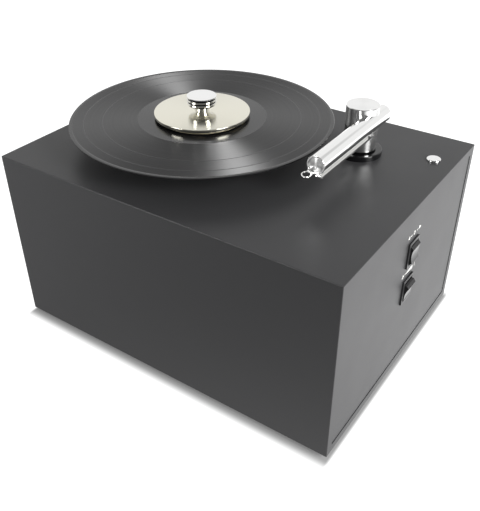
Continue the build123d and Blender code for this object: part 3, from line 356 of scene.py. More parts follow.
nodeFinish = {
    "top_panel": satinFoil, "front_panel": satinFoil, "back_panel": satinFoil, "bottom_panel": satinFoil,
    "left_side_panel": satinFoil, "right_side_panel": satinFoil, "corner_battens": spruce,
    "base_screws": zinc, "feet": rubber, "bearing_housing": steel, "bearing_bushes": bronze,
    "spindle": chrome, "platter_disc": aluminium, "platter_mat": rubber, "shaft_coupling": aluminium,
    "gearbox_shaft": steel, "gearbox_housing": aluminium, "gearmotor_can": steel,
    "gearmotor_bracket": zinc, "bracket_standoffs": brass, "record": groovedVinyl,
    "record_labels": labelPaper, "clamp_disc": nickel, "clamp_seal": rubber, "clamp_knob": knobChrome,
    "base_flange": glossBlack, "riser_pipe": steel, "riser_retaining_ring": steel,
    "arm_guide_bush": bronze, "spring_thrust_washer": bronze, "arm_return_spring": steel,
    "arm_tower": towerChrome, "arm_tube": chrome, "arm_end_caps": capChrome, "suction_lips": chrome,
    "finger_ring": chrome, "velvet_strips": velvet, "top_panel_screws": zinc,
    "switch_bezels": blackPlastic, "upper_rocker": rockerPlastic, "lower_rocker": rockerPlastic,
    "waste_tank": whitePlastic, "tank_gasket": rubber, "tank_lid": whitePlastic,
    "rinse_pipe": whitePlastic, "tank_plug": chrome, "plug_o_ring": rubber,
    "drain_spout": blackPlastic, "drain_cap": rubber, "suction_hose": hoseRubber,
    "vacuum_hose": hoseRubber, "turbine_housing": blackPlastic, "vacuum_motor": steel,
    "turbine_seat": rubber, "impeller": aluminium, "impeller_shaft": steel,
    "exhaust_grille": blackPlastic, "mains_inlet": blackPlastic, "inlet_pins": brass,
    "back_screws": zinc,
}
for nodeName, material in nodeFinish.items():
    mesh = nodes[nodeName].data
    mesh.materials.clear()
    mesh.materials.append(material)
print("CAD nodes painted")


# ---- geometry helpers

levelFace, wallFace = 0.9, 0.1      # a face's upward share: level above the first, a wall below

def newTree(name, inputs):
    # an empty Geometry Nodes tree with named inputs and one mesh output
    tree = bpy.data.node_groups.new(name, "GeometryNodeTree")
    for label, kind in inputs:
        tree.interface.new_socket(label, in_out="INPUT", socket_type="NodeSocket" + kind)
    tree.interface.new_socket("Mesh", in_out="OUTPUT", socket_type="NodeSocketGeometry")
    return tree, addNode(tree, "NodeGroupInput")


def finishTree(tree, geometry, material):
    whole = addNode(tree, "GeometryNodeRealizeInstances", {}, {"Geometry": geometry})
    painted = addNode(tree, "GeometryNodeSetMaterial", {}, {"Geometry": whole.outputs["Geometry"],
                                                           "Material": material})
    addNode(tree, "NodeGroupOutput", {}, {"Mesh": painted.outputs["Geometry"]})
    return tree


def creaseByAngle(tree, geometry, angle):
    # smooth faces, with the edges sharper than the angle kept hard
    smooth = addNode(tree, "GeometryNodeSetShadeSmooth", {"domain": "FACE"}, {"Geometry": geometry})
    bend = addNode(tree, "GeometryNodeInputMeshEdgeAngle")
    sharp = addNode(tree, "FunctionNodeCompare", {"data_type": "FLOAT", "operation": "GREATER_THAN"},
                    {"A": bend.outputs["Unsigned Angle"], "B": angle})
    hard = addNode(tree, "GeometryNodeSetShadeSmooth", {"domain": "EDGE", "Shade Smooth": False},
                   {"Geometry": smooth.outputs["Geometry"], "Selection": sharp.outputs["Result"]})
    return hard.outputs["Geometry"]


def turnedTree():
    # sweeps a half profile round a circle and closes it at the axis
    tree, inputs = newTree("turnedPiece", [("Profile", "Geometry"), ("Segments", "Int"),
                                           ("Rail Radius", "Float"), ("Crease Angle", "Float"),
                                           ("Finish", "Material")])
    profile = addNode(tree, "GeometryNodeMeshToCurve", {}, {"Mesh": inputs.outputs["Profile"]})
    rail = addNode(tree, "GeometryNodeCurvePrimitiveCircle", {"mode": "RADIUS"},
                   {"Resolution": inputs.outputs["Segments"], "Radius": inputs.outputs["Rail Radius"]})
    swept = addNode(tree, "GeometryNodeCurveToMesh", {}, {"Curve": rail.outputs["Curve"],
                                                         "Profile Curve": profile.outputs["Curve"]})
    closed = addNode(tree, "GeometryNodeMergeByDistance", {"Distance": 1e-6},
                     {"Geometry": swept.outputs["Mesh"]})
    creased = creaseByAngle(tree, closed.outputs["Geometry"], inputs.outputs["Crease Angle"])
    return finishTree(tree, creased, inputs.outputs["Finish"])


turned = turnedTree()


def withModifier(piece, tree, values):
    # runs a tree on the piece and keeps the result as its own plain mesh
    modifier = piece.modifiers.new(tree.name, "NODES")
    modifier.node_group = tree
    sockets = {item.name: item.identifier for item in tree.interface.items_tree}
    for label, value in values.items():
        modifier[sockets[label]] = value
    graph = bpy.context.evaluated_depsgraph_get()
    mesh = bpy.data.meshes.new_from_object(piece.evaluated_get(graph))
    piece.modifiers.clear()
    piece.data = mesh
    return piece


def outwards(mesh):
    # faces point out of the solid
    work = bmesh.new()
    work.from_mesh(mesh)
    if work.calc_volume(signed=True) < 0:
        bmesh.ops.reverse_faces(work, faces=work.faces)
    work.to_mesh(mesh)
    work.free()


def newPiece(name, mesh, body, slot, *replaced):
    piece = mesh if isinstance(mesh, bpy.types.Object) else addObject(name, mesh)
    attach(piece, body)
    if replaced:
        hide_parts(*replaced)
    return piece


def turnedPiece(name, profile, axis, material, segments=256, crease=40, ring=False):
    # profile: (radius, height) in metres, from the bottom out and up; a ring's profile is closed
    railRadius = 0.02
    flat = [(radius - railRadius, -height, 0) for radius, height in profile]
    edges = [(i, i + 1) for i in range(len(flat) - 1)]
    if ring:
        edges.append((len(flat) - 1, 0))
    mesh = bpy.data.meshes.new(name)
    mesh.from_pydata(flat, edges, [])
    piece = addObject(name, mesh)
    withModifier(piece, turned, {"Segments": segments, "Rail Radius": railRadius,
                                 "Crease Angle": math.radians(crease), "Finish": material})
    piece.data.transform(Matrix.Translation(Vector((axis[0], axis[1], 0))))
    outwards(piece.data)
    return piece


def roundedCorner(before, corner, after, radius, steps=4):
    # the points of an arc that rounds one corner of a profile
    corner = Vector(corner)
    toBefore = (Vector(before) - corner).normalized()
    toAfter = (Vector(after) - corner).normalized()
    half = toBefore.angle(toAfter) / 2
    reach = radius / math.tan(half)
    centre = corner + (toBefore + toAfter).normalized() * (radius / math.sin(half))
    start = corner + toBefore * reach - centre
    end = corner + toAfter * reach - centre
    turn = start.angle_signed(end)
    points = []
    for step in range(steps + 1):
        spin = Matrix.Rotation(-turn * step / steps, 2)
        points.append(tuple(centre + spin @ start))
    return points


def roundedProfile(corners, radii, closed=False):
    # a profile whose corners are rounded by the radius beside each; 0 leaves a corner sharp
    points = []
    count = len(corners)
    for i, (corner, radius) in enumerate(zip(corners, radii)):
        if radius == 0 or (not closed and i in (0, count - 1)):
            points.append(tuple(corner))
            continue
        points += roundedCorner(corners[i - 1], corner, corners[(i + 1) % count], radius)
    return points


# ---- record

recordLow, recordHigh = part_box("record")
recordSizes = {
    "radius": 150.8 * mm,
    "hole": 3.65 * mm,
    "rimRound": ((0.35 * mm, 0.06 * mm), (0.9 * mm, 0)),     # inwards, and down from the top
    "beadInner": 146.5 * mm,
    "beadSlope": 1.2 * mm,
    "grooveDrop": 0.25 * mm,
    "runoutEdge": 74.0 * mm,
    "bandRings": (113.2, 134.5),     # radii of the gaps between tracks, in mm
    "bandWidth": 0.75 * mm,
    "runoutRise": 0.09 * mm,        # the smooth lead-out stands above the groove floor
    "ringRise": 0.05 * mm,
    "runoutSlope": 0.4 * mm,
    "runoutEnd": 57.0 * mm,
    "labelStep": 54.0 * mm,
    "labelEdge": 50.0 * mm,
    "labelSink": 0.15 * mm,
    "rimHalf": 0.3 * mm,            # half the height of the outermost edge
    "segments": 360,
    "crease": 6,
}


def recordFace(sizes):
    # half the top profile from the rim to the hole, as (radius, drop below the highest level)
    drop = sizes["grooveDrop"]
    points = [(sizes["radius"] - inwards, down) for inwards, down in sizes["rimRound"]]
    points += [(sizes["beadInner"] + sizes["beadSlope"], 0.0), (sizes["beadInner"], drop)]
    for ring in sorted(sizes["bandRings"], reverse=True):
        middle, half = ring * mm, sizes["bandWidth"] / 2
        raised = drop - sizes["ringRise"]
        points += [(middle + half, drop), (middle + half * 0.5, raised),
                   (middle - half * 0.5, raised), (middle - half, drop)]
    runout = drop - sizes["runoutRise"]
    points += [(sizes["runoutEdge"] + sizes["runoutSlope"], drop), (sizes["runoutEdge"], runout),
               (sizes["runoutEnd"], runout), (sizes["labelStep"], 0.0), (sizes["labelEdge"], 0.0),
               (sizes["labelEdge"], sizes["labelSink"]), (sizes["hole"], sizes["labelSink"])]
    return points


def makeRecord(sizes):
    face = recordFace(sizes)
    low, high = recordLow.z, recordHigh.z
    middle = (low + high) / 2
    outline = [(radius, low + drop) for radius, drop in reversed(face)]
    outline += [(sizes["radius"], middle + way * sizes["rimHalf"]) for way in (-1, 1)]
    outline += [(radius, high - drop) for radius, drop in face]
    record = turnedPiece("vinyl_record", outline, spindleAxis, groovedVinyl, sizes["segments"],
                         sizes["crease"], ring=True)
    record.data.materials.append(smoothVinyl)
    # a UV map whose first coordinate runs across the grooves
    across = record.data.uv_layers.new(name="acrossGrooves")
    for polygon in record.data.polygons:
        out = polygon.center - Vector((spindleAxis.x, spindleAxis.y, polygon.center.z))
        distance = out.length
        plain = not sizes["runoutEdge"] < distance < sizes["beadInner"]
        plain = plain or any(abs(distance - ring * mm) < sizes["bandWidth"] / 2
                             for ring in sizes["bandRings"])
        polygon.material_index = 1 if plain or abs(polygon.normal.z) < levelFace else 0
        first = math.atan2(out.y, out.x)
        for loop in polygon.loop_indices:
            spot = record.data.vertices[record.data.loops[loop].vertex_index].co - spindleAxis
            angle = math.atan2(spot.y, spot.x)
            # no seam inside a face
            angle += math.tau * round((first - angle) / math.tau)
            across.data[loop].uv = (math.hypot(spot.x, spot.y) / sizes["radius"], angle / math.tau)
    newPiece("vinyl_record", record, "record", "black_vinyl", "record")


makeRecord(recordSizes)
print("record made")


# ---- clamp

clampLow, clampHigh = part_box("clamp_disc")
knobLow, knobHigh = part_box("clamp_knob")
sealLow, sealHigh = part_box("clamp_seal")
clampSizes = {
    "discRadius": 54.8 * mm,
    "discEdge": 0.5 * mm,
    "bore": 3.75 * mm,
    "boreHeight": 7.6 * mm,
    "footRadius": 8.0 * mm,
    "neckTop": (14.6 * mm, 7.7 * mm),       # radius, and height above the disc
    "neckCurve": 1.6,
    "neckSteps": 18,
    "ribBottom": 9.4 * mm,
    "ribRadius": 16.9 * mm,
    "grooveFloor": 15.4 * mm,
    "grooves": (12.3 * mm, 15.9 * mm),      # middle of each groove above the disc
    "grooveWidth": 1.5 * mm,
    "edge": 0.25 * mm,
    "sealRadii": (43 * mm, 49 * mm),
    "sealEdge": 0.8 * mm,
}


def knobOutline(sizes, foot, top):
    # half the knob's section, from the bore round the outside to the middle of the top
    edge, outer, floor = sizes["edge"], sizes["ribRadius"], sizes["grooveFloor"]
    neckRadius, neckHeight = sizes["neckTop"]
    points = [(0, foot + sizes["boreHeight"]), (sizes["bore"], foot + sizes["boreHeight"]),
              (sizes["bore"], foot)]
    for step in range(sizes["neckSteps"] + 1):
        share = step / sizes["neckSteps"]
        radius = sizes["footRadius"] + (neckRadius - sizes["footRadius"]) * share ** sizes["neckCurve"]
        points.append((radius, foot + neckHeight * share))
    points += [(floor, foot + neckHeight), (floor, foot + sizes["ribBottom"])]
    ribs = [sizes["ribBottom"]]
    for middle in sizes["grooves"]:
        ribs += [middle - sizes["grooveWidth"] / 2, middle + sizes["grooveWidth"] / 2]
    ribs.append(top - foot)
    for low, high in zip(ribs[::2], ribs[1::2]):
        points += [(outer - edge, foot + low), (outer, foot + low + edge),
                   (outer, foot + high - edge), (outer - edge, foot + high)]
        if high < top - foot:
            points += [(floor, foot + high), (floor, foot + high + sizes["grooveWidth"])]
    points.append((0, top))
    return points


def makeClamp(sizes):
    low, high = clampLow.z, clampHigh.z
    corners = [(sizes["bore"], low), (sizes["discRadius"], low), (sizes["discRadius"], high),
               (sizes["bore"], high)]
    rounded = roundedProfile(corners, [0, sizes["discEdge"], sizes["discEdge"], 0], closed=True)
    disc = turnedPiece("clamp_plate", rounded, spindleAxis, nickel, segments=360, crease=12, ring=True)
    newPiece("clamp_plate", disc, "clamp", "polished_chrome", "clamp_disc")
    knob = turnedPiece("clamp_grip", knobOutline(sizes, knobLow.z, knobHigh.z), spindleAxis, knobChrome,
                       crease=35)
    knob.data.materials.append(blackenedGroove)
    # painted shade: the floors of the grooves and of the step under the ribs get near-black metal where
    # shade falls between the ribs
    for polygon in knob.data.polygons:
        out = polygon.center - Vector((spindleAxis.x, spindleAxis.y, polygon.center.z))
        inGroove = out.length < sizes["ribRadius"] - sizes["edge"] * 2 and abs(polygon.normal.z) < wallFace
        if inGroove and polygon.center.z > knobLow.z + sizes["neckTop"][1]:
            polygon.material_index = 1
    newPiece("clamp_grip", knob, "clamp", "polished_chrome", "clamp_knob")

    inner, outer = sizes["sealRadii"]
    bottom, top = sealLow.z, sealHigh.z
    lip = [(inner, bottom), (outer, bottom), (outer, top), (inner, top)]
    seal = turnedPiece("clamp_gasket", roundedProfile(lip, [sizes["sealEdge"]] * 4, closed=True),
                       spindleAxis, rubber, segments=192, crease=50, ring=True)
    newPiece("clamp_gasket", seal, "clamp", "black_rubber", "clamp_seal")


makeClamp(clampSizes)
print("clamp made")


# ---- ends of the arm's tube

endCapSizes = {
    "radius": 8.45 * mm,
    "crown": 0.7 * mm,              # how far the middle stands proud of the edge
    "thickness": 4.5 * mm,
    "steps": 14,
}


def makeEndCaps(sizes):
    low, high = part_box("arm_end_caps")
    radius, crown = sizes["radius"], sizes["crown"]
    sphere = (radius ** 2 + crown ** 2) / (2 * crown)
    profile = []
    for step in range(sizes["steps"] + 1):
        out = radius * step / sizes["steps"]
        profile.append((out, math.sqrt(sphere ** 2 - out ** 2) - sphere))
    profile += [(radius, -sizes["thickness"]), (0, -sizes["thickness"])]
    both = bmesh.new()
    for face, way in ((low.y, -1), (high.y, 1)):
        cap = turnedPiece("endCapPattern", profile, (0, 0), capChrome, segments=96, crease=30)
        facing = Vector((0, way, 0)).to_track_quat("Z", "X").to_matrix().to_4x4()
        cap.data.transform(Matrix.Translation(Vector((tubeAxis.x, face, tubeAxis.z))) @ facing)
        both.from_mesh(cap.data)
        bpy.data.objects.remove(cap)
    mesh = bpy.data.meshes.new("domed_end_caps")
    both.to_mesh(mesh)
    both.free()
    mesh.materials.append(capChrome)
    newPiece("domed_end_caps", mesh, "arm", "polished_chrome", "arm_end_caps")


makeEndCaps(endCapSizes)
print("end caps made")


# ---- screws

screwSizes = {
    "back": {"node": "back_screws", "head": 2.8 * mm, "height": 1.8 * mm, "shank": 1.5 * mm,
             "crown": 0.7 * mm, "outward": (0, 1, 0)},
    "base": {"node": "base_screws", "head": 3.5 * mm, "height": 2.0 * mm, "shank": 1.75 * mm,
             "crown": 0.5 * mm, "outward": (0, 0, -1)},
    "recessReach": 0.62,            # share of the head's radius
    "recessWidth": 0.24,
    "recessDepth": 1.1 * mm,
    "crownSteps": 6,
    "weld": 0.001 * mm,             # vertices this close are one
}


def screwTree():
    # cuts a cross recess in a turned screw and repeats it at each point of the base mesh
    tree, inputs = newTree("screwSet", [("Places", "Geometry"), ("Screw", "Object"), ("Reach", "Float"),
                                        ("Width", "Float"), ("Depth", "Float"), ("Turn", "Rotation"),
                                        ("Finish", "Material")])
    screw = addNode(tree, "GeometryNodeObjectInfo", {}, {"Object": inputs.outputs["Screw"]})
    geometry = screw.outputs["Geometry"]
    for first, second in (("Reach", "Width"), ("Width", "Reach")):
        size = addNode(tree, "ShaderNodeCombineXYZ", {}, {
            "X": inputs.outputs[first], "Y": inputs.outputs[second], "Z": inputs.outputs["Depth"]})
        arm = addNode(tree, "GeometryNodeMeshCube", {}, {"Size": size.outputs["Vector"]})
        cut = addNode(tree, "GeometryNodeMeshBoolean", {"operation": "DIFFERENCE", "solver": "EXACT"},
                      {"Mesh 1": geometry, "Mesh 2": arm.outputs["Mesh"]})
        geometry = cut.outputs["Mesh"]
    points = addNode(tree, "GeometryNodeMeshToPoints", {}, {"Mesh": inputs.outputs["Places"]})
    placed = addNode(tree, "GeometryNodeInstanceOnPoints", {}, {
        "Points": points.outputs["Points"], "Instance": geometry, "Rotation": inputs.outputs["Turn"]})
    return finishTree(tree, placed.outputs["Instances"], inputs.outputs["Finish"])


def looseParts(node):
    # the box of each separate solid in a carried-over mesh
    work = bmesh.new()
    work.from_mesh(bpy.data.objects[node].data)
    bmesh.ops.remove_doubles(work, verts=work.verts, dist=screwSizes["weld"])
    waiting = set(work.verts)
    found = []
    while waiting:
        reached = [waiting.pop()]
        solid = []
        while reached:
            vertex = reached.pop()
            solid.append(vertex.co.copy())
            for edge in vertex.link_edges:
                other = edge.other_vert(vertex)
                if other in waiting:
                    waiting.remove(other)
                    reached.append(other)
        found.append([Vector(pick(point[i] for point in solid) for i in range(3))
                      for pick in (min, max)])
    work.free()
    return found


def screwProfile(sizes, length):
    # from the crown of the head down to the point
    head, height, shank, crown = sizes["head"], sizes["height"], sizes["shank"], sizes["crown"]
    steps = screwSizes["crownSteps"]
    turns = [step / steps * math.pi / 2 for step in range(steps + 1)]
    points = [(head * math.sin(turn), -crown * (1 - math.cos(turn))) for turn in turns]
    return points + [(head, -height), (shank, -height), (shank, -length + shank), (0, -length)]


def makeScrews(name, sizes, material, slot):
    outward = Vector(sizes["outward"])
    groups = {}
    for low, high in looseParts(sizes["node"]):
        middle, half = (low + high) / 2, (high - low) / 2
        reach = abs(half.dot(outward))
        groups.setdefault(round(2 * reach / mm, 1), []).append(middle + outward * reach)
    together = bmesh.new()
    for length, places in groups.items():
        screw = turnedPiece(name + "Pattern", screwProfile(sizes, length * mm), (0, 0), material,
                            segments=32, crease=35)
        mesh = bpy.data.meshes.new(name)
        mesh.from_pydata(places, [], [])
        piece = addObject(name, mesh)
        turn = outward.to_track_quat("Z", "Y").to_euler()
        withModifier(piece, screws, {
            "Screw": screw, "Reach": 2 * sizes["head"] * screwSizes["recessReach"],
            "Width": 2 * sizes["head"] * screwSizes["recessWidth"], "Depth": 2 * screwSizes["recessDepth"],
            "Turn": turn, "Finish": material})
        together.from_mesh(piece.data)
        for helper in (piece, screw):
            bpy.data.objects.remove(helper)
    mesh = bpy.data.meshes.new(name)
    together.to_mesh(mesh)
    together.free()
    mesh.materials.append(material)
    newPiece(name, mesh, "case", slot, sizes["node"])


screws = screwTree()
makeScrews("back_cross_screws", screwSizes["back"], zinc, "zinc_screw")
makeScrews("base_cross_screws", screwSizes["base"], zinc, "zinc_screw")
print("screws made")


# ---- return spring, built at one length; the real one shortens as the arm sinks

springSizes = {
    "wire": 0.7 * mm,
    "pitch": 3.0 * mm,
    "sink": 0.9 * mm,               # the arm's travel
    "stepsPerCoil": 48,
    "wireSides": 12,
    "endRoom": 1.1,                 # from each end to the wire's middle, in wire radii
}


def coilTree():
    # an even coil of round wire
    tree, inputs = newTree("coiledWire", [("Base", "Geometry"), ("Steps", "Int"), ("Coils", "Float"),
                                          ("Coil Radius", "Float"), ("Rise", "Float"),
                                          ("Wire Radius", "Float"), ("Wire Sides", "Int"),
                                          ("Crease Angle", "Float"),
                                          ("Finish", "Material")])
    path = addNode(tree, "GeometryNodeCurveSpiral", {}, {
        "Resolution": inputs.outputs["Steps"], "Rotations": inputs.outputs["Coils"],
        "Start Radius": inputs.outputs["Coil Radius"], "End Radius": inputs.outputs["Coil Radius"],
        "Height": inputs.outputs["Rise"]})
    wire = addNode(tree, "GeometryNodeCurvePrimitiveCircle", {"mode": "RADIUS"},
                   {"Resolution": inputs.outputs["Wire Sides"], "Radius": inputs.outputs["Wire Radius"]})
    coil = addNode(tree, "GeometryNodeCurveToMesh", {"Fill Caps": True}, {
        "Curve": path.outputs["Curve"], "Profile Curve": wire.outputs["Curve"]})
    smooth = creaseByAngle(tree, coil.outputs["Mesh"], inputs.outputs["Crease Angle"])
    return finishTree(tree, smooth, inputs.outputs["Finish"])


def makeSpring(sizes):
    low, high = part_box("arm_return_spring")
    wire = sizes["wire"]
    rise = high.z - low.z - 2 * sizes["endRoom"] * wire
    radius = min(high.x - low.x, high.y - low.y) / 2 - wire
    spring = addObject("coiled_spring", bpy.data.meshes.new("coiled_spring"))
    withModifier(spring, coilTree(), {
        "Steps": sizes["stepsPerCoil"], "Coils": rise / sizes["pitch"], "Coil Radius": radius, "Rise": rise,
        "Wire Radius": wire, "Wire Sides": sizes["wireSides"], "Crease Angle": math.radians(60),
        "Finish": steel})
    start = Vector((towerAxis.x, towerAxis.y, low.z + sizes["endRoom"] * wire))
    spring.data.transform(Matrix.Translation(start))
    outwards(spring.data)
    newPiece("coiled_spring", spring, "case", "spring_steel", "arm_return_spring")
    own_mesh(spring)


makeSpring(springSizes)
print("spring made")


# ---- marks printed above the switches

markSizes = {
    "height": 4.5 * mm,
    "stroke": 0.9 * mm,
    "ink": 0.04 * mm,
    "centre": 0.5 * mm,             # along Y
    "rows": (189.0 * mm, 140.6 * mm),
    "reach": 16.5 * mm,
    "bars": 0.46,                   # shares of the reach
    "wedge": (-0.6, 0.62),
    "circleSteps": 32,
}


def printedMark(name, shapes, face):
    # flat ink on the side panel; each shape is a closed outline, or two for a ring
    work = bmesh.new()
    for outlines in shapes:
        layers = [[[work.verts.new((x, y, z)) for y, z in outline] for outline in outlines]
                  for x in (face, face + markSizes["ink"])]
        count = len(outlines[0])
        for outline in range(len(outlines)):
            low, high = layers[0][outline], layers[1][outline]
            for i in range(count):
                follow = (i + 1) % count
                work.faces.new((low[i], low[follow], high[follow], high[i]))
        for layer in layers:
            if len(outlines) == 1:
                work.faces.new(layer[0])
            else:
                for i in range(count):
                    follow = (i + 1) % count
                    work.faces.new((layer[0][i], layer[0][follow], layer[1][follow], layer[1][i]))
    bmesh.ops.recalc_face_normals(work, faces=work.faces)
    mesh = bpy.data.meshes.new(name)
    work.to_mesh(mesh)
    work.free()
    mesh.materials.append(whiteInk)
    newPiece(name, mesh, "case", "white_plastic")


def makeMarks(sizes, face):
    half, line, centre, reach = sizes["height"] / 2, sizes["stroke"] / 2, sizes["centre"], sizes["reach"]
    upper, lower = sizes["rows"]
    turns = [math.tau * step / sizes["circleSteps"] for step in range(sizes["circleSteps"])]

    def circle(y, z, radius):
        return [(y + radius * math.cos(turn), z + radius * math.sin(turn)) for turn in turns]

    def bar(y, z, halfWidth, halfHeight):
        return [(y - halfWidth, z - halfHeight), (y + halfWidth, z - halfHeight),
                (y + halfWidth, z + halfHeight), (y - halfWidth, z + halfHeight)]

    def ring(y, z):
        return [circle(y, z, half), circle(y, z, half - line * 2)]

    def arrow(y, z, way):
        return [[(y + way * half * 2, z), (y, z + half), (y, z - half)]]

    # turn one way, stop, turn the other way
    printedMark("turning_mark", [
        arrow(centre - reach + half * 2, upper, -1),
        [bar(centre - reach * sizes["bars"], upper, half, line)], ring(centre, upper),
        [bar(centre + reach * sizes["bars"], upper, half, line)],
        arrow(centre + reach - half * 2, upper, 1)], face)
    # off, a growing wedge for the suction, on
    thin, thick = (centre + reach * share for share in sizes["wedge"])
    wedge = [(thin, lower - line / 3), (thick, lower - half), (thick, lower + half),
             (thin, lower + line / 3)]
    printedMark("suction_mark", [ring(centre - reach + half, lower), [wedge],
                                 [bar(centre + reach - line, lower, line, half)]], face)


makeMarks(markSizes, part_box("right_side_panel")[1].x)
print("marks made")


# ---- studio

studio = {
    "floorSize": 14.0,
    "floorColour": "#6a6a6a",
    # emission of the floor: least, most, and the distances in metres where each begins
    # the camera's glow stays low close to the case: a painted shadow strip along its foot
    "cameraGlow": (0.16, 1.1, 0.0, 0.016),  # by the distance from the case
    "mirrorGlow": (0.3, 1.3, -0.3, 0.25),   # by the way from front left to rear right
    "endShare": 3,                  # a step outwards at the ends counts as so many at the front
    "plainLevel": 0.9,              # what diffuse surfaces get
    "backdrop": 1.0,                # what mirrors see behind the object
    "dimSide": 0.16,                # and in front and overhead
    "behind": (-0.568, 0.823, 0),
    "behindSpan": (-0.05, 0.35),    # cosines between which the front turns into the back
    "overheadSpan": (0.62, 0.85),   # sines of elevation between which the backdrop ends
    "rearRight": (0.6, 0.8, 0),
    "greyPatch": (0.25, 0.68, 0.69),        # a duller place in the backdrop
    "greySpan": (0.95, 0.99),
    "greyLevel": 0.68,
}

# lamps: azimuth and elevation in degrees; distance, width and height in metres; watts; and
# whether they reach dull surfaces and glossy ones
softBoxes = {
    "keyLamp": (-8, 21, 2.0, 0.8, 1.0, 88.0, True, False),
    "leftBox": (-118, 24, 2.2, 0.85, 1.1, 28.0, False, True),
    "rightBox": (-4, 28, 2.0, 0.8, 1.0, 45.0, False, True),
    "overheadBox": (45, 75, 2.2, 0.75, 0.6, 245.0, False, True),
    "rearRightBox": (52, 9, 2.2, 1.6, 0.66, 16.0, False, True),
    "frontBox": (-128, -8, 0.85, 0.4, 0.4, 6.2, True, False),
}


def outsideCase(tree, endShare):
    # how far a floor point lies outside the case's footprint
    place = addNode(tree, "ShaderNodeTexCoord")
    mirrored = addNode(tree, "ShaderNodeVectorMath", {"operation": "ABSOLUTE"},
                       {0: place.outputs["Object"]})
    half = (caseHigh.x, caseHigh.y, 0)
    beyond = addNode(tree, "ShaderNodeVectorMath", {"operation": "SUBTRACT", 1: half},
                     {0: mirrored.outputs["Vector"]})
    clipped = addNode(tree, "ShaderNodeVectorMath", {"operation": "MAXIMUM", 1: (0, 0, 0)},
                      {0: beyond.outputs["Vector"]})
    # the painted shadow strip is narrower at the case's ends
    counted = addNode(tree, "ShaderNodeVectorMath", {"operation": "MULTIPLY", 1: (endShare, 1, 0)},
                      {0: clipped.outputs["Vector"]})
    return addNode(tree, "ShaderNodeVectorMath", {"operation": "LENGTH"}, {0: counted.outputs["Vector"]})


def softStep(tree, value, span, low=0.0, high=1.0):
    # runs smoothly from low to high while the value crosses the span
    return addNode(tree, "ShaderNodeMapRange", {
        "interpolation_type": "SMOOTHSTEP", "From Min": span[0], "From Max": span[1],
        "To Min": low, "To Max": high}, {"Value": value})


def glowLevel(tree, distance, levels, rays):
    # extra light that the floor shows to some kinds of rays, growing with a distance
    low, high, near, far = levels
    ramp = softStep(tree, distance.outputs["Value"], (near, far), low, high)
    return addNode(tree, "ShaderNodeMath", {"operation": "MULTIPLY"}, {0: ramp.outputs["Result"], 1: rays})


def makeFloor(sizes):
    half = sizes["floorSize"] / 2
    mesh = bpy.data.meshes.new("floor")
    corners = [(-half, -half, 0), (half, -half, 0), (half, half, 0), (-half, half, 0)]
    mesh.from_pydata(corners, [], [range(len(corners))])
    floor = addObject("floor", mesh)
    material, tree, principled = startMaterial("floorPaper", {
        "Base Color": toLinear(sizes["floorColour"]), "Roughness": 0.9, "Specular IOR Level": 0.0,
        "Emission Color": (1, 1, 1, 1)})
    distance = outsideCase(tree, sizes["endShare"])
    path = addNode(tree, "ShaderNodeLightPath")
    mirrors = addNode(tree, "ShaderNodeMath", {"operation": "MAXIMUM"},
                      {0: path.outputs["Is Glossy Ray"], 1: path.outputs["Is Transmission Ray"]})
    # painted shadow: the floor glows less to the camera near the case
    toCamera = glowLevel(tree, distance, sizes["cameraGlow"], path.outputs["Is Camera Ray"])
    place = addNode(tree, "ShaderNodeTexCoord")
    toRear = addNode(tree, "ShaderNodeVectorMath", {"operation": "DOT_PRODUCT", 1: sizes["rearRight"]},
                     {0: place.outputs["Object"]})
    toMirrors = glowLevel(tree, toRear, sizes["mirrorGlow"], mirrors.outputs["Value"])
    glow = addNode(tree, "ShaderNodeMath", {"operation": "ADD"},
                   {0: toCamera.outputs["Value"], 1: toMirrors.outputs["Value"]})
    tree.links.new(glow.outputs["Value"], principled.inputs["Emission Strength"])
    mesh.materials.append(material)


def makeWorld(sizes):
    world = bpy.data.worlds.new("studioWorld")
    world.use_nodes = True
    tree = world.node_tree
    tree.nodes.clear()
    place = addNode(tree, "ShaderNodeTexCoord")
    rear = addNode(tree, "ShaderNodeVectorMath", {"operation": "DOT_PRODUCT", 1: sizes["behind"]},
                   {0: place.outputs["Generated"]})
    side = softStep(tree, rear.outputs["Value"], sizes["behindSpan"])
    parts = addNode(tree, "ShaderNodeSeparateXYZ", {}, {"Vector": place.outputs["Generated"]})
    low = softStep(tree, parts.outputs["Z"], sizes["overheadSpan"], 1.0, 0.0)
    share = addNode(tree, "ShaderNodeMath", {"operation": "MULTIPLY"},
                    {0: side.outputs["Result"], 1: low.outputs["Result"]})
    mirrored = addNode(tree, "ShaderNodeMapRange", {
        "To Min": sizes["dimSide"], "To Max": sizes["backdrop"]}, {"Value": share.outputs["Value"]})
    aside = addNode(tree, "ShaderNodeVectorMath", {"operation": "DOT_PRODUCT", 1: sizes["greyPatch"]},
                    {0: place.outputs["Generated"]})
    patch = softStep(tree, aside.outputs["Value"], sizes["greySpan"], 1.0, sizes["greyLevel"])
    duller = addNode(tree, "ShaderNodeMath", {"operation": "MULTIPLY"},
                     {0: mirrored.outputs["Result"], 1: patch.outputs["Result"]})
    path = addNode(tree, "ShaderNodeLightPath")
    plain = addNode(tree, "ShaderNodeMix", {"data_type": "FLOAT", "A": sizes["plainLevel"]},
                    {"Factor": path.outputs["Is Glossy Ray"], "B": duller.outputs["Value"]})
    seen = addNode(tree, "ShaderNodeMath", {"operation": "MAXIMUM"},
                   {0: path.outputs["Is Camera Ray"], 1: path.outputs["Is Transmission Ray"]})
    level = addNode(tree, "ShaderNodeMix", {"data_type": "FLOAT", "B": 1.0},
                    {"Factor": seen.outputs["Value"], "A": plain.outputs["Result"]})
    background = addNode(tree, "ShaderNodeBackground", {"Color": (1, 1, 1, 1)},
                         {"Strength": level.outputs["Result"]})
    addNode(tree, "ShaderNodeOutputWorld", {}, {"Surface": background.outputs["Background"]})
    bpy.context.scene.world = world


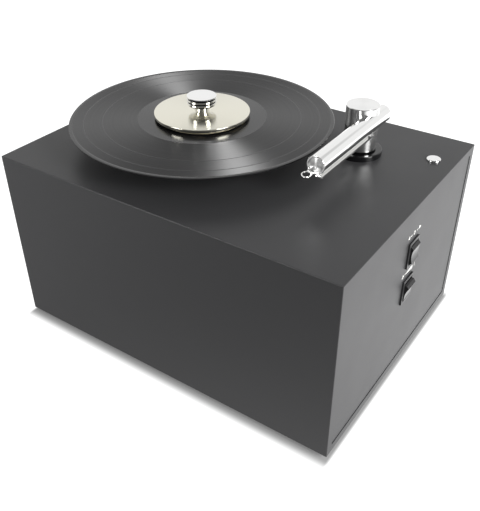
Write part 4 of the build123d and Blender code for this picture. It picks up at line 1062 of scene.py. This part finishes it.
def softBox(name, azimuth, elevation, distance, width, height, watts, dull, glossy):
    light = bpy.data.lights.new(name, "AREA")
    light.shape = "RECTANGLE"
    light.size = width
    light.size_y = height
    light.energy = watts
    lamp = addObject(name, light)
    around, up = math.radians(azimuth), math.radians(elevation)
    out = Vector((math.cos(around) * math.cos(up), math.sin(around) * math.cos(up), math.sin(up)))
    target = Vector((0, 0, caseHigh.z))
    lamp.location = target + out * distance
    lamp.rotation_euler = (-out).to_track_quat("-Z", "Y").to_euler()
    lamp.visible_camera = False
    lamp.visible_diffuse = dull
    lamp.visible_glossy = glossy
    return lamp


def lightOnly(lamp, *pieces):
    # the lamp lights these pieces and nothing else
    lit = bpy.data.collections.new(lamp.name + "Lit")
    for piece in pieces:
        lit.objects.link(piece)
    lamp.light_linking.receiver_collection = lit


makeFloor(studio)
makeWorld(studio)
boxes = {boxName: softBox(boxName, *setup) for boxName, setup in softBoxes.items()}
lightOnly(boxes["overheadBox"], bpy.data.objects["vinyl_record"])
notRecord = [piece for piece in bpy.context.scene.objects
             if piece.type == "MESH" and piece.name not in ("vinyl_record", "floor")]
for boxName in ("leftBox", "rightBox"):
    lightOnly(boxes[boxName], *notRecord)
lightOnly(boxes["rearRightBox"], *(bpy.data.objects[name] for name in (
    "right_side_panel", "switch_bezels")))
lightOnly(boxes["frontBox"], bpy.data.objects["front_panel"])

cameraSetup = {
    "place": (0.4023, -0.5853, 0.5733),
    "azimuth": 34.64,
    "elevation": 34.96,
    "roll": -0.34,
    "lens": 48.53,
    "clipStart": 0.01,
}
camera = addObject("camera", bpy.data.cameras.new("camera"))
turn = Matrix.Rotation(math.radians(cameraSetup["azimuth"]), 4, "Z")
tilt = Matrix.Rotation(math.radians(90 - cameraSetup["elevation"]), 4, "X")
roll = Matrix.Rotation(math.radians(cameraSetup["roll"]), 4, "Z")
camera.matrix_world = Matrix.Translation(cameraSetup["place"]) @ turn @ tilt @ roll
camera.data.lens = cameraSetup["lens"]
camera.data.clip_start = cameraSetup["clipStart"]
bpy.context.scene.camera = camera
bpy.context.scene.view_settings.view_transform = "Standard"
print("studio made")
